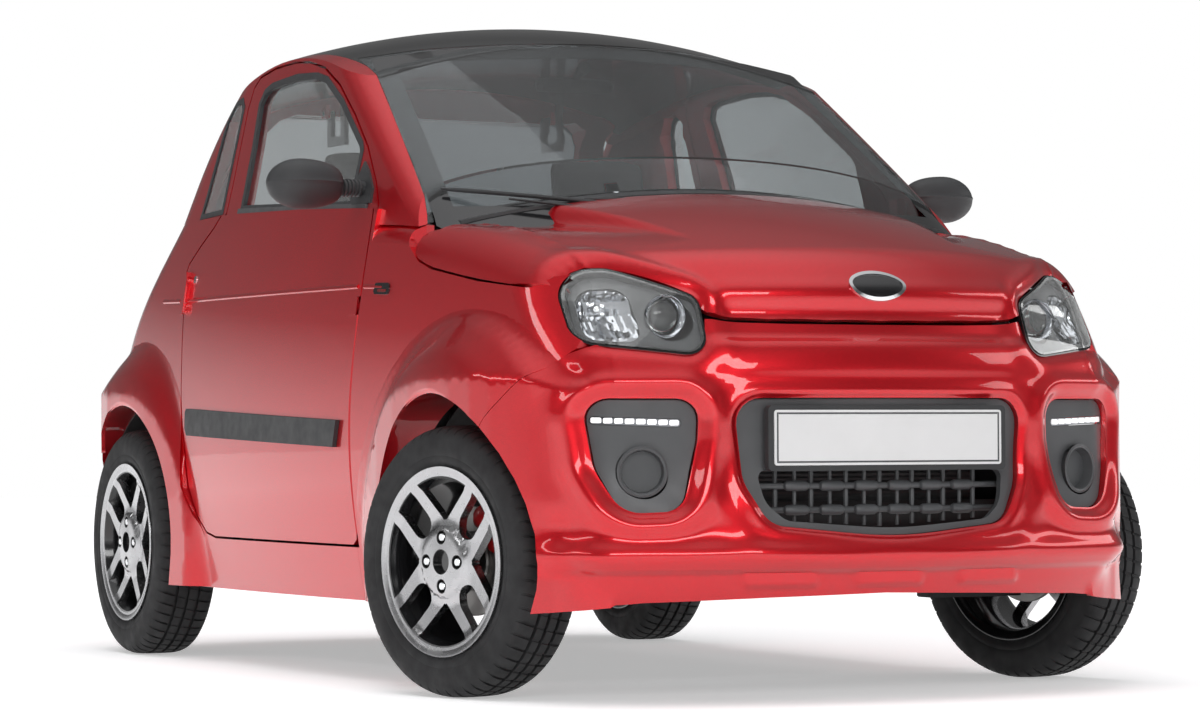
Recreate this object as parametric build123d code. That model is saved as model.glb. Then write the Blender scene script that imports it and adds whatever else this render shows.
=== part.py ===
from build123d import *
import os
from math import sin, cos, tan, radians, hypot, sqrt

os.makedirs("parts", exist_ok=True)

# ---------------------------------------------------------------- driving dimensions (mm)
# x: + is the car's left, y: + is the rear, z: + is up; z = 0 is the ground
SIDE_PLAN_R = 12000.0       # plan radius of the body side
SIDE_PLAN_Y = 200.0         # y where the body side is widest
WALL = 45.0                 # depth of a door, quarter or bumper from skin to trim
HOOD_T = 22.0               # depth of the hood with its inner frame
PILLAR_T = 32.0             # depth of the pillars, roof rails and roof
GAP = 5.5                   # shut line of a moving panel
SEAM = 0.6                  # seam between two fixed panels
GLASS_T = 5.0
PLATE_Y = -1483.0           # front face of the front number plate

KINGPIN_Y, AXLE_R_Y = -923.0, 1028.0
ARCH_F_Y = -928.0
WHEEL_X = 680.0             # middle of the tyre from the centre plane
WHEEL_Z = 278.5             # axle height = tyre radius
STEER_REST = 15.3           # front wheels stand turned to the left
KINGPIN_X = 641.0           # kingpin axis from the centre plane
KINGPIN_IN = 40.0           # kingpin axis inboard of the tyre's middle
KNUCKLE_LOW = 203.5         # underside of the steering knuckle
RIM_R, RIM_SEAT_R = 195.0, 180.4   # outer edge of the rim flange and the seat of the tyre
SPOKE_HUB_R, SPOKE_FAN = 84.0, 27.0   # spokes leave the hub here and open to this half angle
SLOT_HALF, SLOT_IN_R = 28.0, 106.0    # slot between two spokes: half width, centre of its round end
MIRROR_TIP, MIRROR_ROOT, MIRROR_R = 888.0, 712.0, 55.0
ARCH_R_F, ARCH_R_R = 345.0, 340.0
FLARE_X = 765.0             # outer face of the wheel arch lips
SILL_FRONT = -404.0         # seam between the sill and the front fender

HINGE_DOOR = (695.0, -375.0)        # x, y of the vertical door hinge line
DOOR_EDGE_R = 37.0                  # leading edge of the door turns on this radius
HINGE_DOOR_Z = (430.0, 820.0)       # heights of the two hinges
PIN_R, PIN_CLEAR = 6.0, 0.3
HINGE_HOOD = (-612.0, 966.0)        # y, z of the hood hinge line
HINGE_GATE = (792.0, 1340.0)        # y, z of the tailgate hinge line
GATE_EDGE_R = 80.0                  # forward edge of the tailgate turns on this radius
ROOF_EDGE_R = 91.0                  # rear edge of the roof, clear of the open tailgate
HOOD_CORNER_R = 40.0                # rear outer corners of the hood are cut round the hinge line
COWL_GAP = 20.0                     # room for the hood's rear edge as it swings up

# plan line that the wheel arch lips stay within: y, x
FLARE_PLAN_F = [(-1340, 600), (-1300, 655), (-1260, 688), (-1220, 712), (-1170, 735), (-1110, 752), (-1030, 762), (-930, 766),
                (-820, 764), (-720, 758), (-600, 745), (-500, 728), (-410, 708)]
FLARE_PLAN_R = [(500, 735), (600, 746), (720, 755), (850, 762), (1028, 766), (1140, 762), (1230, 748), (1300, 724), (1360, 690),
                (1420, 640)]

# hood surface: crown radius across, long radius along, highest line
HOOD_R_LONG, HOOD_R_CROWN, HOOD_TOP_Y, HOOD_TOP_Z = 3230.0, 2300.0, -268.0, 1098.0
HOOD_EDGE_R = 60.0
# roof surface
ROOF_R_LONG, ROOF_R_CROWN, ROOF_TOP_Y, ROOF_TOP_Z = 1350.0, 2000.0, 300.0, 1510.0

# lower body sections: z, front y, front plan radius, front corner radius, half width,
#                      rear y, rear plan radius, rear corner radius
LOWER = [
    (165, -1440, 1500, 150, 706, 1465, 1500, 200),
    (275, -1505, 1540, 120, 724, 1495, 1500, 210),
    (470, -1488, 1540, 150, 741, 1505, 1500, 220),
    (640, -1485, 1400, 190, 740, 1498, 1450, 240),
    (780, -1450, 1080, 230, 729, 1452, 1400, 270),
    (920, -1395, 1000, 250, 709, 1335, 1300, 300),
    (1100, -1300, 950, 260, 672, 1125, 1200, 300),
]
# cabin sections, same columns
UPPER = [
    (940, -965, 1020, 110, 695, 1290, 1250, 270),
    (1010, -847, 1060, 110, 682, 1215, 1250, 270),
    (1200, -530, 1160, 110, 640, 1083, 1200, 270),
    (1400, -195, 1290, 110, 594, 868, 1150, 270),
    (1540, 40, 1350, 110, 562, 640, 1100, 270),
]
# belt line in side view: y, z
BELT = [(-430, 1030), (-341, 1036), (0, 1052), (480, 1067), (739, 1065), (1600, 1062)]
# door outline in side view, clockwise from the belt at the front: y, z
DOOR = [(-404, 1040), (-412, 998), (-416, 940), (-416, 440), (-412, 345), (-404, 312), (-385, 301), (455, 304), (517, 314), (578, 354), (624, 418),
        (650, 524), (676, 630), (690, 726), (714, 839), (740, 895), (748, 925), (728, 957),
        (662, 996), (585, 1036), (538, 1070), (533, 1140), (537, 1225), (542, 1322), (530, 1372),
        (498, 1394), (399, 1407), (271, 1410), (172, 1402), (68, 1380), (-48, 1331), (-177, 1252),
        (-286, 1173), (-370, 1090)]
DOOR_WINDOW = [(-262, 1047), (430, 1076), (432, 1122), (441, 1218), (461, 1330), (440, 1358),
               (397, 1369), (235, 1376), (103, 1368), (35, 1353), (-88, 1292), (-250, 1185), (-262, 1168)]
QUARTER_WINDOW = [(570, 1076), (737, 1072), (722, 1128), (704, 1223), (690, 1305), (655, 1345),
                  (602, 1352), (578, 1330), (574, 1240)]
# hood: side view limit, front view limit and plan limit of the panel
HOOD_SIDE = [(-1600, 740), (-1330, 740), (-1290, 790), (-1230, 829), (-949, 858), (-739, 891),
             (-675, 910), (-627, 942), (-612, 966), (-622, 985), (-650, 1003), (-650, 1300), (-1600, 1300)]
HOOD_FRONT = [(0, 764), (200, 766), (340, 771), (368, 780), (430, 815), (500, 847), (560, 865),
              (608, 858), (640, 838), (800, 829), (800, 1300), (0, 1300)]
HOOD_PLAN = [(0, -797), (200, -782), (400, -760), (520, -735), (600, -716), (632, -706), (650, -640), (665, -618),
             (800, -600), (800, -1600), (0, -1600)]
# front bumper limit in side view: y, z; headlamp, grille and fog outlines in front view: x, z, corner radius
BUMPER_SIDE = [(-1600, 100), (-1100, 100), (-1000, 400), (-1036, 476), (-1150, 568), (-1239, 645),
               (-1301, 707), (-1345, 759), (-1600, 759)]
HEADLAMP = [(374, 692, 38), (608, 720, 38), (608, 868, 68), (515, 868, 60), (374, 808, 30)]
GRILLE = [(-331, 607, 50), (331, 607, 50), (316, 440, 90), (270, 357, 60), (0, 329, 900), (-270, 357, 60), (-316, 440, 90)]
FOG = [(400, 606, 42), (616, 608, 42), (600, 470, 90), (556, 382, 60), (440, 386, 50), (404, 520, 90)]
WINDSCREEN = [(0, 985), (600, 940), (640, 985), (634, 1005), (547, 1395), (538, 1401), (400, 1422), (200, 1436), (0, 1441)]
COWL_PLAN = [(0, -690), (300, -662), (500, -612), (591, -580), (591, -1000), (0, -1000)]
ROOF_PLAN = [(0, -400), (548, -400), (552, -60), (558, 200), (552, 450), (530, 650), (500, 800), (0, 800)]
# rear panels
GATE_REAR = [(0, 604), (440, 604), (500, 640), (534, 720), (548, 900), (545, 1040), (520, 1180),
             (492, 1280), (480, 1310), (480, 1600), (0, 1600)]
REAR_WINDOW = [(0, 1098), (430, 1092), (470, 1110), (462, 1190), (436, 1290), (418, 1322), (380, 1338), (0, 1344)]
TAIL_LAMP = [(556, 690), (760, 690), (760, 905), (556, 905)]
TAIL_SIDE = [(1600, 690), (1330, 690), (1262, 800), (1225, 905), (1600, 905)]
REAR_BUMPER_SIDE = [(1600, 100), (1150, 100), (1200, 420), (1290, 500), (1330, 560), (1400, 595), (1600, 595)]


# ---------------------------------------------------------------- shape helpers
def meet(c1, r1, c2, r2, front):
    dx, dy = c2[0] - c1[0], c2[1] - c1[1]
    d = hypot(dx, dy)
    a = (r1 * r1 - r2 * r2 + d * d) / (2 * d)
    h = sqrt(r1 * r1 - a * a)
    px, py = c1[0] + a * dx / d, c1[1] + a * dy / d
    pts = [(px - h * dy / d, py + h * dx / d), (px + h * dy / d, py - h * dx / d)]
    return max([p for p in pts if p[0] > 0], key=lambda p: -p[1] if front else p[1])


def section(row, inset=0.0):
    z, yf, rf_plan, rf, w, yr, rr_plan, rr = row
    w, yf, yr = w - inset, yf + inset, yr - inset
    cs = (w - SIDE_PLAN_R, SIDE_PLAN_Y)
    fx, fy = meet((0, yf + rf_plan), rf_plan, cs, SIDE_PLAN_R, True)
    rx, ry = meet((0, yr - rr_plan), rr_plan, cs, SIDE_PLAN_R, False)
    face = make_face([
        ThreePointArc((-fx, fy), (0, yf), (fx, fy)),
        ThreePointArc((fx, fy), (w, SIDE_PLAN_Y), (rx, ry)),
        ThreePointArc((rx, ry), (0, yr), (-rx, ry)),
        ThreePointArc((-rx, ry), (-w, SIDE_PLAN_Y), (-fx, fy)),
    ])
    face = fillet([v for v in face.vertices() if v.Y < fy + 1], max(rf - inset, 8))
    face = fillet([v for v in face.vertices() if abs(v.Y - ry) < 1e-3], max(rr - inset, 8))
    return Pos(0, 0, z) * face


LOFTS = {}


def body(table, inset=0.0):
    """Solid inside the skin of a table's sections, moved inwards by inset; each is made once."""
    key = (len(table), inset)
    if key not in LOFTS:
        LOFTS[key] = loft(Sketch() + [section(r, inset) for r in table])
    return LOFTS[key]


def barrel(r_long, r_crown, y, z, inset=0.0):
    """Solid under a doubly curved cap: crown arc turned about a line across the car."""
    r1, r2 = r_long - inset, r_crown - inset
    half = 900.0
    drop = r2 - sqrt(r2 * r2 - half * half)
    prof = make_face([
        ThreePointArc((-half, r1 - drop), (0, r1), (half, r1 - drop)),
        Line((half, r1 - drop), (half, r1 - 900)), Line((half, r1 - 900), (-half, r1 - 900)),
        Line((-half, r1 - 900), (-half, r1 - drop)),
    ])
    solid = revolve(prof, axis=Axis.X, revolution_arc=100)
    return Pos(0, y, z - r_long) * (Rot(40, 0, 0) * solid)


def side_prism(points, x0, x1):
    f = make_face(Polyline(*[(x0, y, z) for y, z in points], close=True))
    return extrude(f, amount=x1 - x0, dir=(1, 0, 0))


def rounded(corners):
    """Face inside an outline whose corners are arcs: a, b and radius of each corner."""
    ends, edges = [], []
    for i, (a, b, r) in enumerate(corners):
        here = Vector(a, b, 0)
        u = (Vector(*corners[i - 1][:2], 0) - here).normalized()
        v = (Vector(*corners[(i + 1) % len(corners)][:2], 0) - here).normalized()
        half = radians(u.get_angle(v)) / 2
        start, end = here + u * (r / tan(half)), here + v * (r / tan(half))
        edges.append(ThreePointArc(start, here + (u + v).normalized() * (r / sin(half) - r), end))
        ends.append((start, end))
    edges += [Line(ends[i - 1][1], ends[i][0]) for i in range(len(ends))]
    return make_face(edges)


def grown(points, by):
    """2-D outline moved outwards (or inwards) by a distance."""
    if len(points[0]) == 3:
        f = rounded(points)
    else:
        f = make_face(Polyline(*[(a, b, 0) for a, b in points], close=True))
    f = offset(f, amount=by, kind=Kind.INTERSECTION)
    return f


def side_cut(points, by, x0, x1):
    f = grown(points, by)
    pl = Plane(origin=(x0, 0, 0), x_dir=(0, 1, 0), z_dir=(1, 0, 0))
    return extrude(pl * f, amount=x1 - x0)


def front_cut(points, by, y0, y1):
    f = grown(points, by)
    pl = Plane(origin=(0, y0, 0), x_dir=(1, 0, 0), z_dir=(0, -1, 0))
    return extrude(pl * f, amount=-(y1 - y0))


def plan_cut(points, by, z0, z1):
    return extrude(Pos(0, 0, z0) * grown(points, by), amount=z1 - z0)


def both(points):
    """Outline given for x >= 0, closed by its mirror image."""
    return points + [(-a, b) for a, b in reversed(points) if a > 0]


def block(x0, x1, y0, y1, z0, z1):
    return Pos((x0 + x1) / 2, (y0 + y1) / 2, (z0 + z1) / 2) * Box(x1 - x0, y1 - y0, z1 - z0)


def cyl_x(x0, x1, y, z, r):
    return Pos((x0 + x1) / 2, y, z) * (Rot(0, 90, 0) * Cylinder(r, x1 - x0))


def tube_x(x0, x1, y, z, r, t):
    return cyl_x(x0, x1, y, z, r) - cyl_x(x0 - 1, x1 + 1, y, z, r - t)


def left(p):
    return mirror(p, about=Plane.YZ)


PARTS = {}


def put(name, shape):
    PARTS[name] = shape


# ---------------------------------------------------------------- skins
outer_low = body(LOWER)
inner_low = body(LOWER, WALL)
front_box = block(-800, 800, -1600, -430, 100, 1300)
hood_barrel = barrel(HOOD_R_LONG, HOOD_R_CROWN, HOOD_TOP_Y, HOOD_TOP_Z)
outer_front = outer_low & hood_barrel & front_box
top_edges = [e for e in outer_front.edges()
             if e.center().Z > 830 and e.center().Y < -500 and e.length > 60
             and abs(e.center().Y + 430) > 5]
rim_edges = [e for e in top_edges if e.bounding_box().max.Z - e.bounding_box().min.Z > 3
             and any(f.bounding_box().size.Z < 260 for f in outer_front.faces() if e in f.edges())]
outer_front = fillet(rim_edges, HOOD_EDGE_R)
inner_front = inner_low & barrel(HOOD_R_LONG, HOOD_R_CROWN, HOOD_TOP_Y, HOOD_TOP_Z, HOOD_T) & front_box
shell_front = outer_front - inner_front

belt_prism = side_prism(BELT + [(1600, 100), (-430, 100)], -800, 800)
shell_rear = (outer_low & belt_prism) - inner_low

roof_barrel = barrel(ROOF_R_LONG, ROOF_R_CROWN, ROOF_TOP_Y, ROOF_TOP_Z)
outer_up = body(UPPER) & roof_barrel
inner_up = body(UPPER, PILLAR_T) & barrel(ROOF_R_LONG, ROOF_R_CROWN, ROOF_TOP_Y, ROOF_TOP_Z, PILLAR_T)
above_belt = side_prism(BELT + [(1600, 1700), (-430, 1700)], -800, 800)
above_front = block(-800, 800, -1600, -430, 900, 1700) - (
    body(LOWER, -0.4) & barrel(HOOD_R_LONG, HOOD_R_CROWN, HOOD_TOP_Y, HOOD_TOP_Z, -0.4))
shell_up = (outer_up - inner_up)
shell_up_rear = shell_up & above_belt
shell_up_front = shell_up & above_front

# ---------------------------------------------------------------- wheel arches
def flare(y, z, arch_r, out_r, x_skin):
    """Lip round an arch, right side: x, radius pairs turned about the wheel's own line."""
    prof = [(-x_skin + 60, arch_r), (-FLARE_X + 5, arch_r), (-FLARE_X, arch_r + 6), (-FLARE_X + 3, arch_r + 35),
            (-FLARE_X + 22, arch_r + 85), (-x_skin, out_r), (-x_skin + 60, out_r)]
    f = make_face(Polyline(*[(a, b, 0) for a, b in prof], close=True))
    return Pos(0, y, z) * revolve(f, axis=Axis.X)


def plan_limit(rows):
    return extrude(make_face(Polyline(*[(-x, y, 182) for y, x in rows], (-560, rows[-1][0], 182), (-560, rows[0][0], 182), close=True)), amount=700)


flare_f = (flare(ARCH_F_Y, WHEEL_Z, ARCH_R_F, 488, 690) & plan_limit(FLARE_PLAN_F)) - inner_low
flare_r = (flare(AXLE_R_Y, WHEEL_Z, ARCH_R_R, 470, 706) & plan_limit(FLARE_PLAN_R)) - inner_low
arch_f = cyl_x(-800, -430, ARCH_F_Y, WHEEL_Z, ARCH_R_F)
arch_r = cyl_x(-800, -520, AXLE_R_Y, WHEEL_Z, ARCH_R_R)

half_r = block(-800, 0, -1600, 1600, 100, 1700)
side_front = (shell_front & half_r) + flare_f - arch_f
side_rear = (shell_rear & half_r) + flare_r - arch_r
strip = (shell_rear & block(-800, 0, -431, -300, 100, 1200))

# ---------------------------------------------------------------- panels of the front
hood_zone = side_prism(HOOD_SIDE, -800, 800) & front_cut(both(HOOD_FRONT), 0, -1600, -500) & plan_cut(both(HOOD_PLAN), 0, 600, 1300)
hood_zone_big = side_cut(HOOD_SIDE, GAP, -800, 800) & front_cut(both(HOOD_FRONT), GAP, -1700, -500) & plan_cut(both(HOOD_PLAN), GAP, 600, 1300)
hood = shell_front & hood_zone
hy, hz = HINGE_HOOD
arm_side = [(hy + 12, hz + 8), (hy + 12, hz - 68), (hy - 130, hz - 68), (hy - 130, hz + 10), (hy - 110, hz + 10), (hy - 110, hz - 52),
            (hy - 12, hz - 52), (hy - 12, hz + 8)]
arm = side_prism(arm_side, -621, -607) - cyl_x(-630, -600, hy, hz, PIN_R + PIN_CLEAR)
corner = cyl_x(-720, -640, hy, hz, HOOD_CORNER_R)
hood = (hood - corner - left(corner)) + arm + left(arm)
put("hood", hood)

bumper_zone = side_prism(BUMPER_SIDE, -800, 0)
lamp_zone = front_cut(HEADLAMP, 0, -1600, -1120)
lamp_zone_r = mirror(lamp_zone, about=Plane.YZ)
lamp_cut_r = mirror(front_cut(HEADLAMP, SEAM + 1.4, -1600, -1120), about=Plane.YZ)
fog_r = mirror(front_cut(FOG, 0, -1600, -1150), about=Plane.YZ)
fog_cut_r = mirror(front_cut(FOG, SEAM, -1600, -1150), about=Plane.YZ)
grille_zone = front_cut(GRILLE, 0, -1600, -1300)
grille_cut = front_cut(GRILLE, SEAM, -1600, -1300)
chin_cut = front_cut([(-800, 100), (800, 100), (800, 150), (689, 182), (500, 200), (0, 212), (-500, 200), (-689, 182), (-800, 150)], 0, -1600, -1250)

bumper_r = (side_front & bumper_zone) - lamp_cut_r - fog_cut_r - hood_zone_big - block(-800, 800, -1250, -400, 100, 182)
bumper_r = bumper_r - grille_cut - chin_cut
put("front_bumper", bumper_r + left(bumper_r))

def turn_edge(r):
    """Region behind the hinge line, with a round leading edge about it below the belt."""
    x, y = HINGE_DOOR
    return block(-800, -540, y, 1000, 100, 1700) + (Pos(-x, y, 600) * Cylinder(r, 1000)) + block(-800, -540, -600, y, 1032, 1700)


door_sweep = Pos(-HINGE_DOOR[0], HINGE_DOOR[1], 301 - GAP + 350) * Cylinder(DOOR_EDGE_R + GAP, 700)
door_cut_r = (side_cut(DOOR, GAP, -800, -556) & turn_edge(DOOR_EDGE_R + GAP)) + door_sweep
door_zone_r = side_cut(DOOR, 0, -800, -564) & turn_edge(DOOR_EDGE_R)
fender = side_front & block(-800, 0, -1300, -400, 182, 1300)
fender = fender - side_cut(BUMPER_SIDE, SEAM, -800, 0) - lamp_cut_r - hood_zone_big
fender = fender - plan_cut([(0, -1600), (-560, -1600), (-560, -1250), (-590, -850), (-638, -800), (-638, -400), (0, -400)], 0, 100, 1300)
strip_f = strip & block(-800, 0, -431, HINGE_DOOR[1] - 1, 182, 1200)
strip_f = (strip_f - door_cut_r) - block(-800, 0, SILL_FRONT - SEAM, 0, 100, 306)
fender = fender + strip_f
for z in HINGE_DOOR_Z:
    fender = fender - block(-674, -600, -425, -376, z - 10, z + 10)
put("fender_right", fender)
put("fender_left", left(fender))

lamp = (outer_front & lamp_zone_r) - inner_front - hood_zone_big
put("headlamp_right", lamp)
put("headlamp_left", left(lamp))
recess = body(LOWER, 22)
put("grille_insert", (recess & grille_zone) - inner_low)
fog = (recess & fog_r & block(-800, 0, -1600, -1302, 100, 900)) - inner_low
put("fog_insert_right", fog)
put("fog_insert_left", left(fog))


hood_sweep = side_cut(HOOD_SIDE, GAP, -800, 800) & front_cut(both(HOOD_FRONT), GAP, -1700, -500) & plan_cut(both(HOOD_PLAN), COWL_GAP, 600, 1300)
cowl = (shell_front & plan_cut(both(COWL_PLAN), 0, 900, 1200)) - hood_sweep
put("cowl_panel", cowl)

# ---------------------------------------------------------------- cabin glass and roof
ws_zone = front_cut(both(WINDSCREEN), 0, -1100, 60)
ws_cut = front_cut(both(WINDSCREEN), SEAM, -1100, 60)
roof_in = lambda d: barrel(ROOF_R_LONG, ROOF_R_CROWN, ROOF_TOP_Y, ROOF_TOP_Z, d)
pane_outer = outer_up - (body(UPPER, GLASS_T) & roof_in(GLASS_T))
windscreen = pane_outer & ws_zone & (above_front + block(-800, 800, -430, 60, 900, 1700))
put("windscreen", windscreen)


def gate_edge(r):
    half, crown = 520.0, ROOF_R_CROWN
    drop = crown - sqrt(crown * crown - half * half)
    f = make_face([ThreePointArc((-half, r - drop), (0, r), (half, r - drop)),
                   Line((half, r - drop), (half, 0)), Line((half, 0), (-half, 0)), Line((-half, 0), (-half, r - drop))])
    return Pos(0, HINGE_GATE[0], HINGE_GATE[1]) * revolve(f, axis=Axis.X)


gate_zone = front_cut(both(GATE_REAR), 0, 600, 1700) & (block(-800, 800, HINGE_GATE[0], 1700, 500, 1700) + gate_edge(GATE_EDGE_R))
gate_cut = front_cut(both(GATE_REAR), GAP, 600, 1700) & (block(-800, 800, HINGE_GATE[0], 1700, 500, 1700) + gate_edge(GATE_EDGE_R + GAP))
roof_zone = plan_cut(both(ROOF_PLAN), 0, 1250, 1700)
roof_cut = plan_cut(both(ROOF_PLAN), SEAM, 1250, 1700)
roof_end = front_cut(both(GATE_REAR), GAP, 600, 1700) & (block(-800, 800, HINGE_GATE[0], 1700, 500, 1700) + gate_edge(ROOF_EDGE_R))
roof = ((shell_up & roof_zone) - ws_cut) - roof_end
gy, gz = HINGE_GATE
for x in (-298, 286):
    roof = roof + side_prism([(gy - 12, gz + 7), (gy + 12, gz + 7), (gy + 12, gz - 83), (gy - 100, gz - 83), (gy - 100, gz + 60),
                              (gy - 76, gz + 60), (gy - 76, gz - 59), (gy - 12, gz - 59)], x, x + 12)
roof = roof + cyl_x(-314, -286, gy, gz, PIN_R) + cyl_x(286, 314, gy, gz, PIN_R)
put("roof_panel", roof)

window_zone = side_cut(DOOR_WINDOW, 0, -800, -300)
window_pane = side_cut(DOOR_WINDOW, -SEAM, -800, -300)
quarter_zone = side_cut(QUARTER_WINDOW, 0, -800, -300)
quarter_pane = side_cut(QUARTER_WINDOW, -SEAM, -800, -300)
door = (shell_rear & door_zone_r & half_r) + ((shell_up_rear & door_zone_r & half_r) - window_zone)
hx, hy = HINGE_DOOR
for z in HINGE_DOOR_Z:
    door = door - block(-hx - 18, -600, hy - 60, hy + 13, z - 20, z + 20) - (Pos(-hx, hy, z) * Cylinder(PIN_R + PIN_CLEAR, 90))
put("door_right", door)
put("door_left", left(door))
pane = (body(UPPER, 7) & roof_in(7) & window_pane & half_r) - (body(UPPER, 7 + GLASS_T) & roof_in(7 + GLASS_T))
put("door_glass_right", pane)
put("door_glass_left", left(pane))
pane = (outer_up & quarter_pane & half_r) - body(UPPER, GLASS_T)
put("quarter_glass_right", pane)
put("quarter_glass_left", left(pane))

# ---------------------------------------------------------------- body sides
tail_zone = mirror(front_cut(TAIL_LAMP, 0, 900, 1700), about=Plane.YZ) & side_prism(TAIL_SIDE, -800, 0)
tail_cut = mirror(front_cut(TAIL_LAMP, SEAM, 900, 1700), about=Plane.YZ) & side_cut(TAIL_SIDE, SEAM, -800, 0)
rear_bumper_zone = side_prism(REAR_BUMPER_SIDE, -800, 0)
low = side_rear - door_cut_r - side_cut(REAR_BUMPER_SIDE, SEAM, -800, 0) - gate_cut - tail_cut
low = low - block(-800, 0, -500, SILL_FRONT, 100, 1300) - block(-800, 0, -500, -200, 306, 1300) - block(-800, 0, -500, 1600, 100, 180) - block(-540, 0, 1100, 1600, 100, 1300)
up = (shell_up_rear & half_r) + (shell_up_front & half_r)
up = up - door_cut_r - ws_cut - roof_cut - gate_cut - quarter_zone
up = up & block(-800, -400, -1000, 1700, 900, 1700)
up = up - block(-507, -440, 834, 912, 1262, 1342)
hinge_post = block(-636, -600, -470, -425, 190, 970) + block(-636, -600, -470, -431.6, 969, 1075) + block(-636, -600, -470, -300, 190, 295)
hinge_post = hinge_post + (block(-720, -600, SILL_FRONT + 4, -300, 190, 295) & body(LOWER, WALL - 5))
for z in HINGE_DOOR_Z:
    lug = plan_cut([(-636, -428), (-636, -462), (-604, -462), (-604, -428), (-hx + 8, hy + 10), (-hx - 9, hy + 6), (-hx - 9, hy - 8), (-hx + 4, hy - 12)], 0, z - 8, z + 8)
    hinge_post = hinge_post + lug + (Pos(-hx, hy, z) * Cylinder(PIN_R, 80))
yy, zz = HINGE_HOOD
hinge_post = hinge_post + block(-604, -594, yy - 14, -430, zz - 16, zz + 12) + cyl_x(-623, -594, yy, zz, PIN_R)
side_panel = low + up + hinge_post
put("body_side_right", side_panel)
put("body_side_left", left(side_panel))
lamp = side_rear & tail_zone
put("tail_lamp_right", lamp)
put("tail_lamp_left", left(lamp))
rb = (side_rear & rear_bumper_zone) - gate_cut - block(-800, 0, 1200, 1600, 100, 200)
put("rear_bumper", rb + left(rb))

rear_window_zone = front_cut(both(REAR_WINDOW), 0, 700, 1500)
gate = ((shell_rear + shell_up_rear) & gate_zone) - rear_window_zone
for x in (-312, 300):
    gate = gate + (block(x, x + 12, gy - 14, gy + 14, gz - 11, gz + 30) - cyl_x(x - 1, x + 13, gy, gz, PIN_R + PIN_CLEAR))
put("tailgate", gate)
rear_pane = pane_outer & front_cut(both(REAR_WINDOW), -SEAM, 820, 1500) & block(-800, 800, 820, 1500, 1080, 1400)
put("rear_glass", rear_pane)


# ---------------------------------------------------------------- chassis tub
room = body(LOWER, WALL + 0.4)
floor = (block(-700, 700, -470, 640, 192, 206) & room) + block(-560, 560, 626, 640, 192, 430) + (block(-538, 538, 626, 1440, 418, 430) & room)
tunnel = block(-70, 70, -560, 640, 192, 300) - block(-58, 58, -561, 627, 180, 288)
floor = floor - block(-720, -598, -480, -298, 100, 310) - block(598, 720, -480, -298, 100, 310)
rails = block(-430, -380, -1355, -440, 300, 380) + block(380, 430, -1355, -440, 300, 380)
rails = rails + block(-430, 430, -1365, -1350, 280, 400)
firewall = block(-560, 560, -575, -563, 192, 950)
toe = block(-560, 560, -575, -460, 192, 206) + block(-430, -380, -570, -440, 206, 330) + block(380, 430, -570, -440, 206, 330)
rear_rails = block(-500, -450, 600, 1440, 370, 418) + block(450, 500, 600, 1440, 370, 418)
tub = (floor + tunnel + rails + firewall + toe + (rear_rails & room))
put("chassis_tub", tub)


def liner(y, r, x_out, x_in, t, z_low):
    """Wheel housing: arched shell closed on its inner side."""
    arc = tube_x(-x_out, -x_in, y, WHEEL_Z, r - SEAM, t)
    wall = cyl_x(-x_in - t, -x_in, y, WHEEL_Z, r - SEAM)
    return ((arc + wall) & block(-800, 0, y - 400, y + 400, z_low, 900)) - cyl_x(-x_in - 10, -x_in + 10, y, WHEEL_Z, 60)


liner_f = liner(ARCH_F_Y, ARCH_R_F, 640, 445, 5, 240)
put("arch_liner_front_right", liner_f)
put("arch_liner_front_left", left(liner_f))
liner_r = liner(AXLE_R_Y, ARCH_R_R, 690, 540, 5, 240)
put("arch_liner_rear_right", liner_r)
put("arch_liner_rear_left", left(liner_r))

# ---------------------------------------------------------------- cabin fittings
dash_side = [(-562.7, 1010), (-470, 1012), (-380, 1000), (-325, 965), (-318, 925), (-345, 870), (-400, 790), (-430, 690), (-562.7, 690)]
dash = side_prism(dash_side, -592, 592)
put("dashboard", dash)


def seat(cx):
    cushion = side_prism([(-30, 330), (-50, 420), (-20, 470), (60, 480), (330, 455), (430, 470), (450, 330)], cx - 235, cx + 235)
    back = side_prism([(400, 440), (335, 470), (335, 500), (420, 900), (455, 1060), (480, 1085), (520, 1085), (545, 1050), (520, 900), (455, 440)], cx - 225, cx + 225)
    head = side_prism([(452, 1100), (470, 1200), (490, 1225), (530, 1225), (545, 1200), (530, 1100)], cx - 120, cx + 120)
    posts = block(cx - 70, cx - 58, 492, 504, 1080, 1104) + block(cx + 58, cx + 70, 492, 504, 1080, 1104)
    base = block(cx - 190, cx + 190, 20, 400, 206.4, 331)
    return cushion + back + head + posts + base


seat_r = seat(-300)
put("seat_right", seat_r)
put("seat_left", left(seat_r))

wheel_c = (310.0, -215.0, 905.0)     # steering wheel centre
tilt = -62.0                          # rake of the steering wheel from flat
rimw = Torus(178, 14) + Pos(0, 0, -14) * Cylinder(48, 34)
for k in (0, 120, 240):
    rimw = rimw + Rot(0, 0, k + 30) * (Pos(0, 105, -8) * Box(28, 160, 10))
rimw = rimw + Pos(0, 0, -120) * Cylinder(22, 210)
rimw = (Pos(*wheel_c) * (Rot(tilt, 0, 0) * rimw)) - side_cut(dash_side, 0.3, -600, 600)
put("steering_wheel", max(rimw.solids(), key=lambda p: p.volume))

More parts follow.
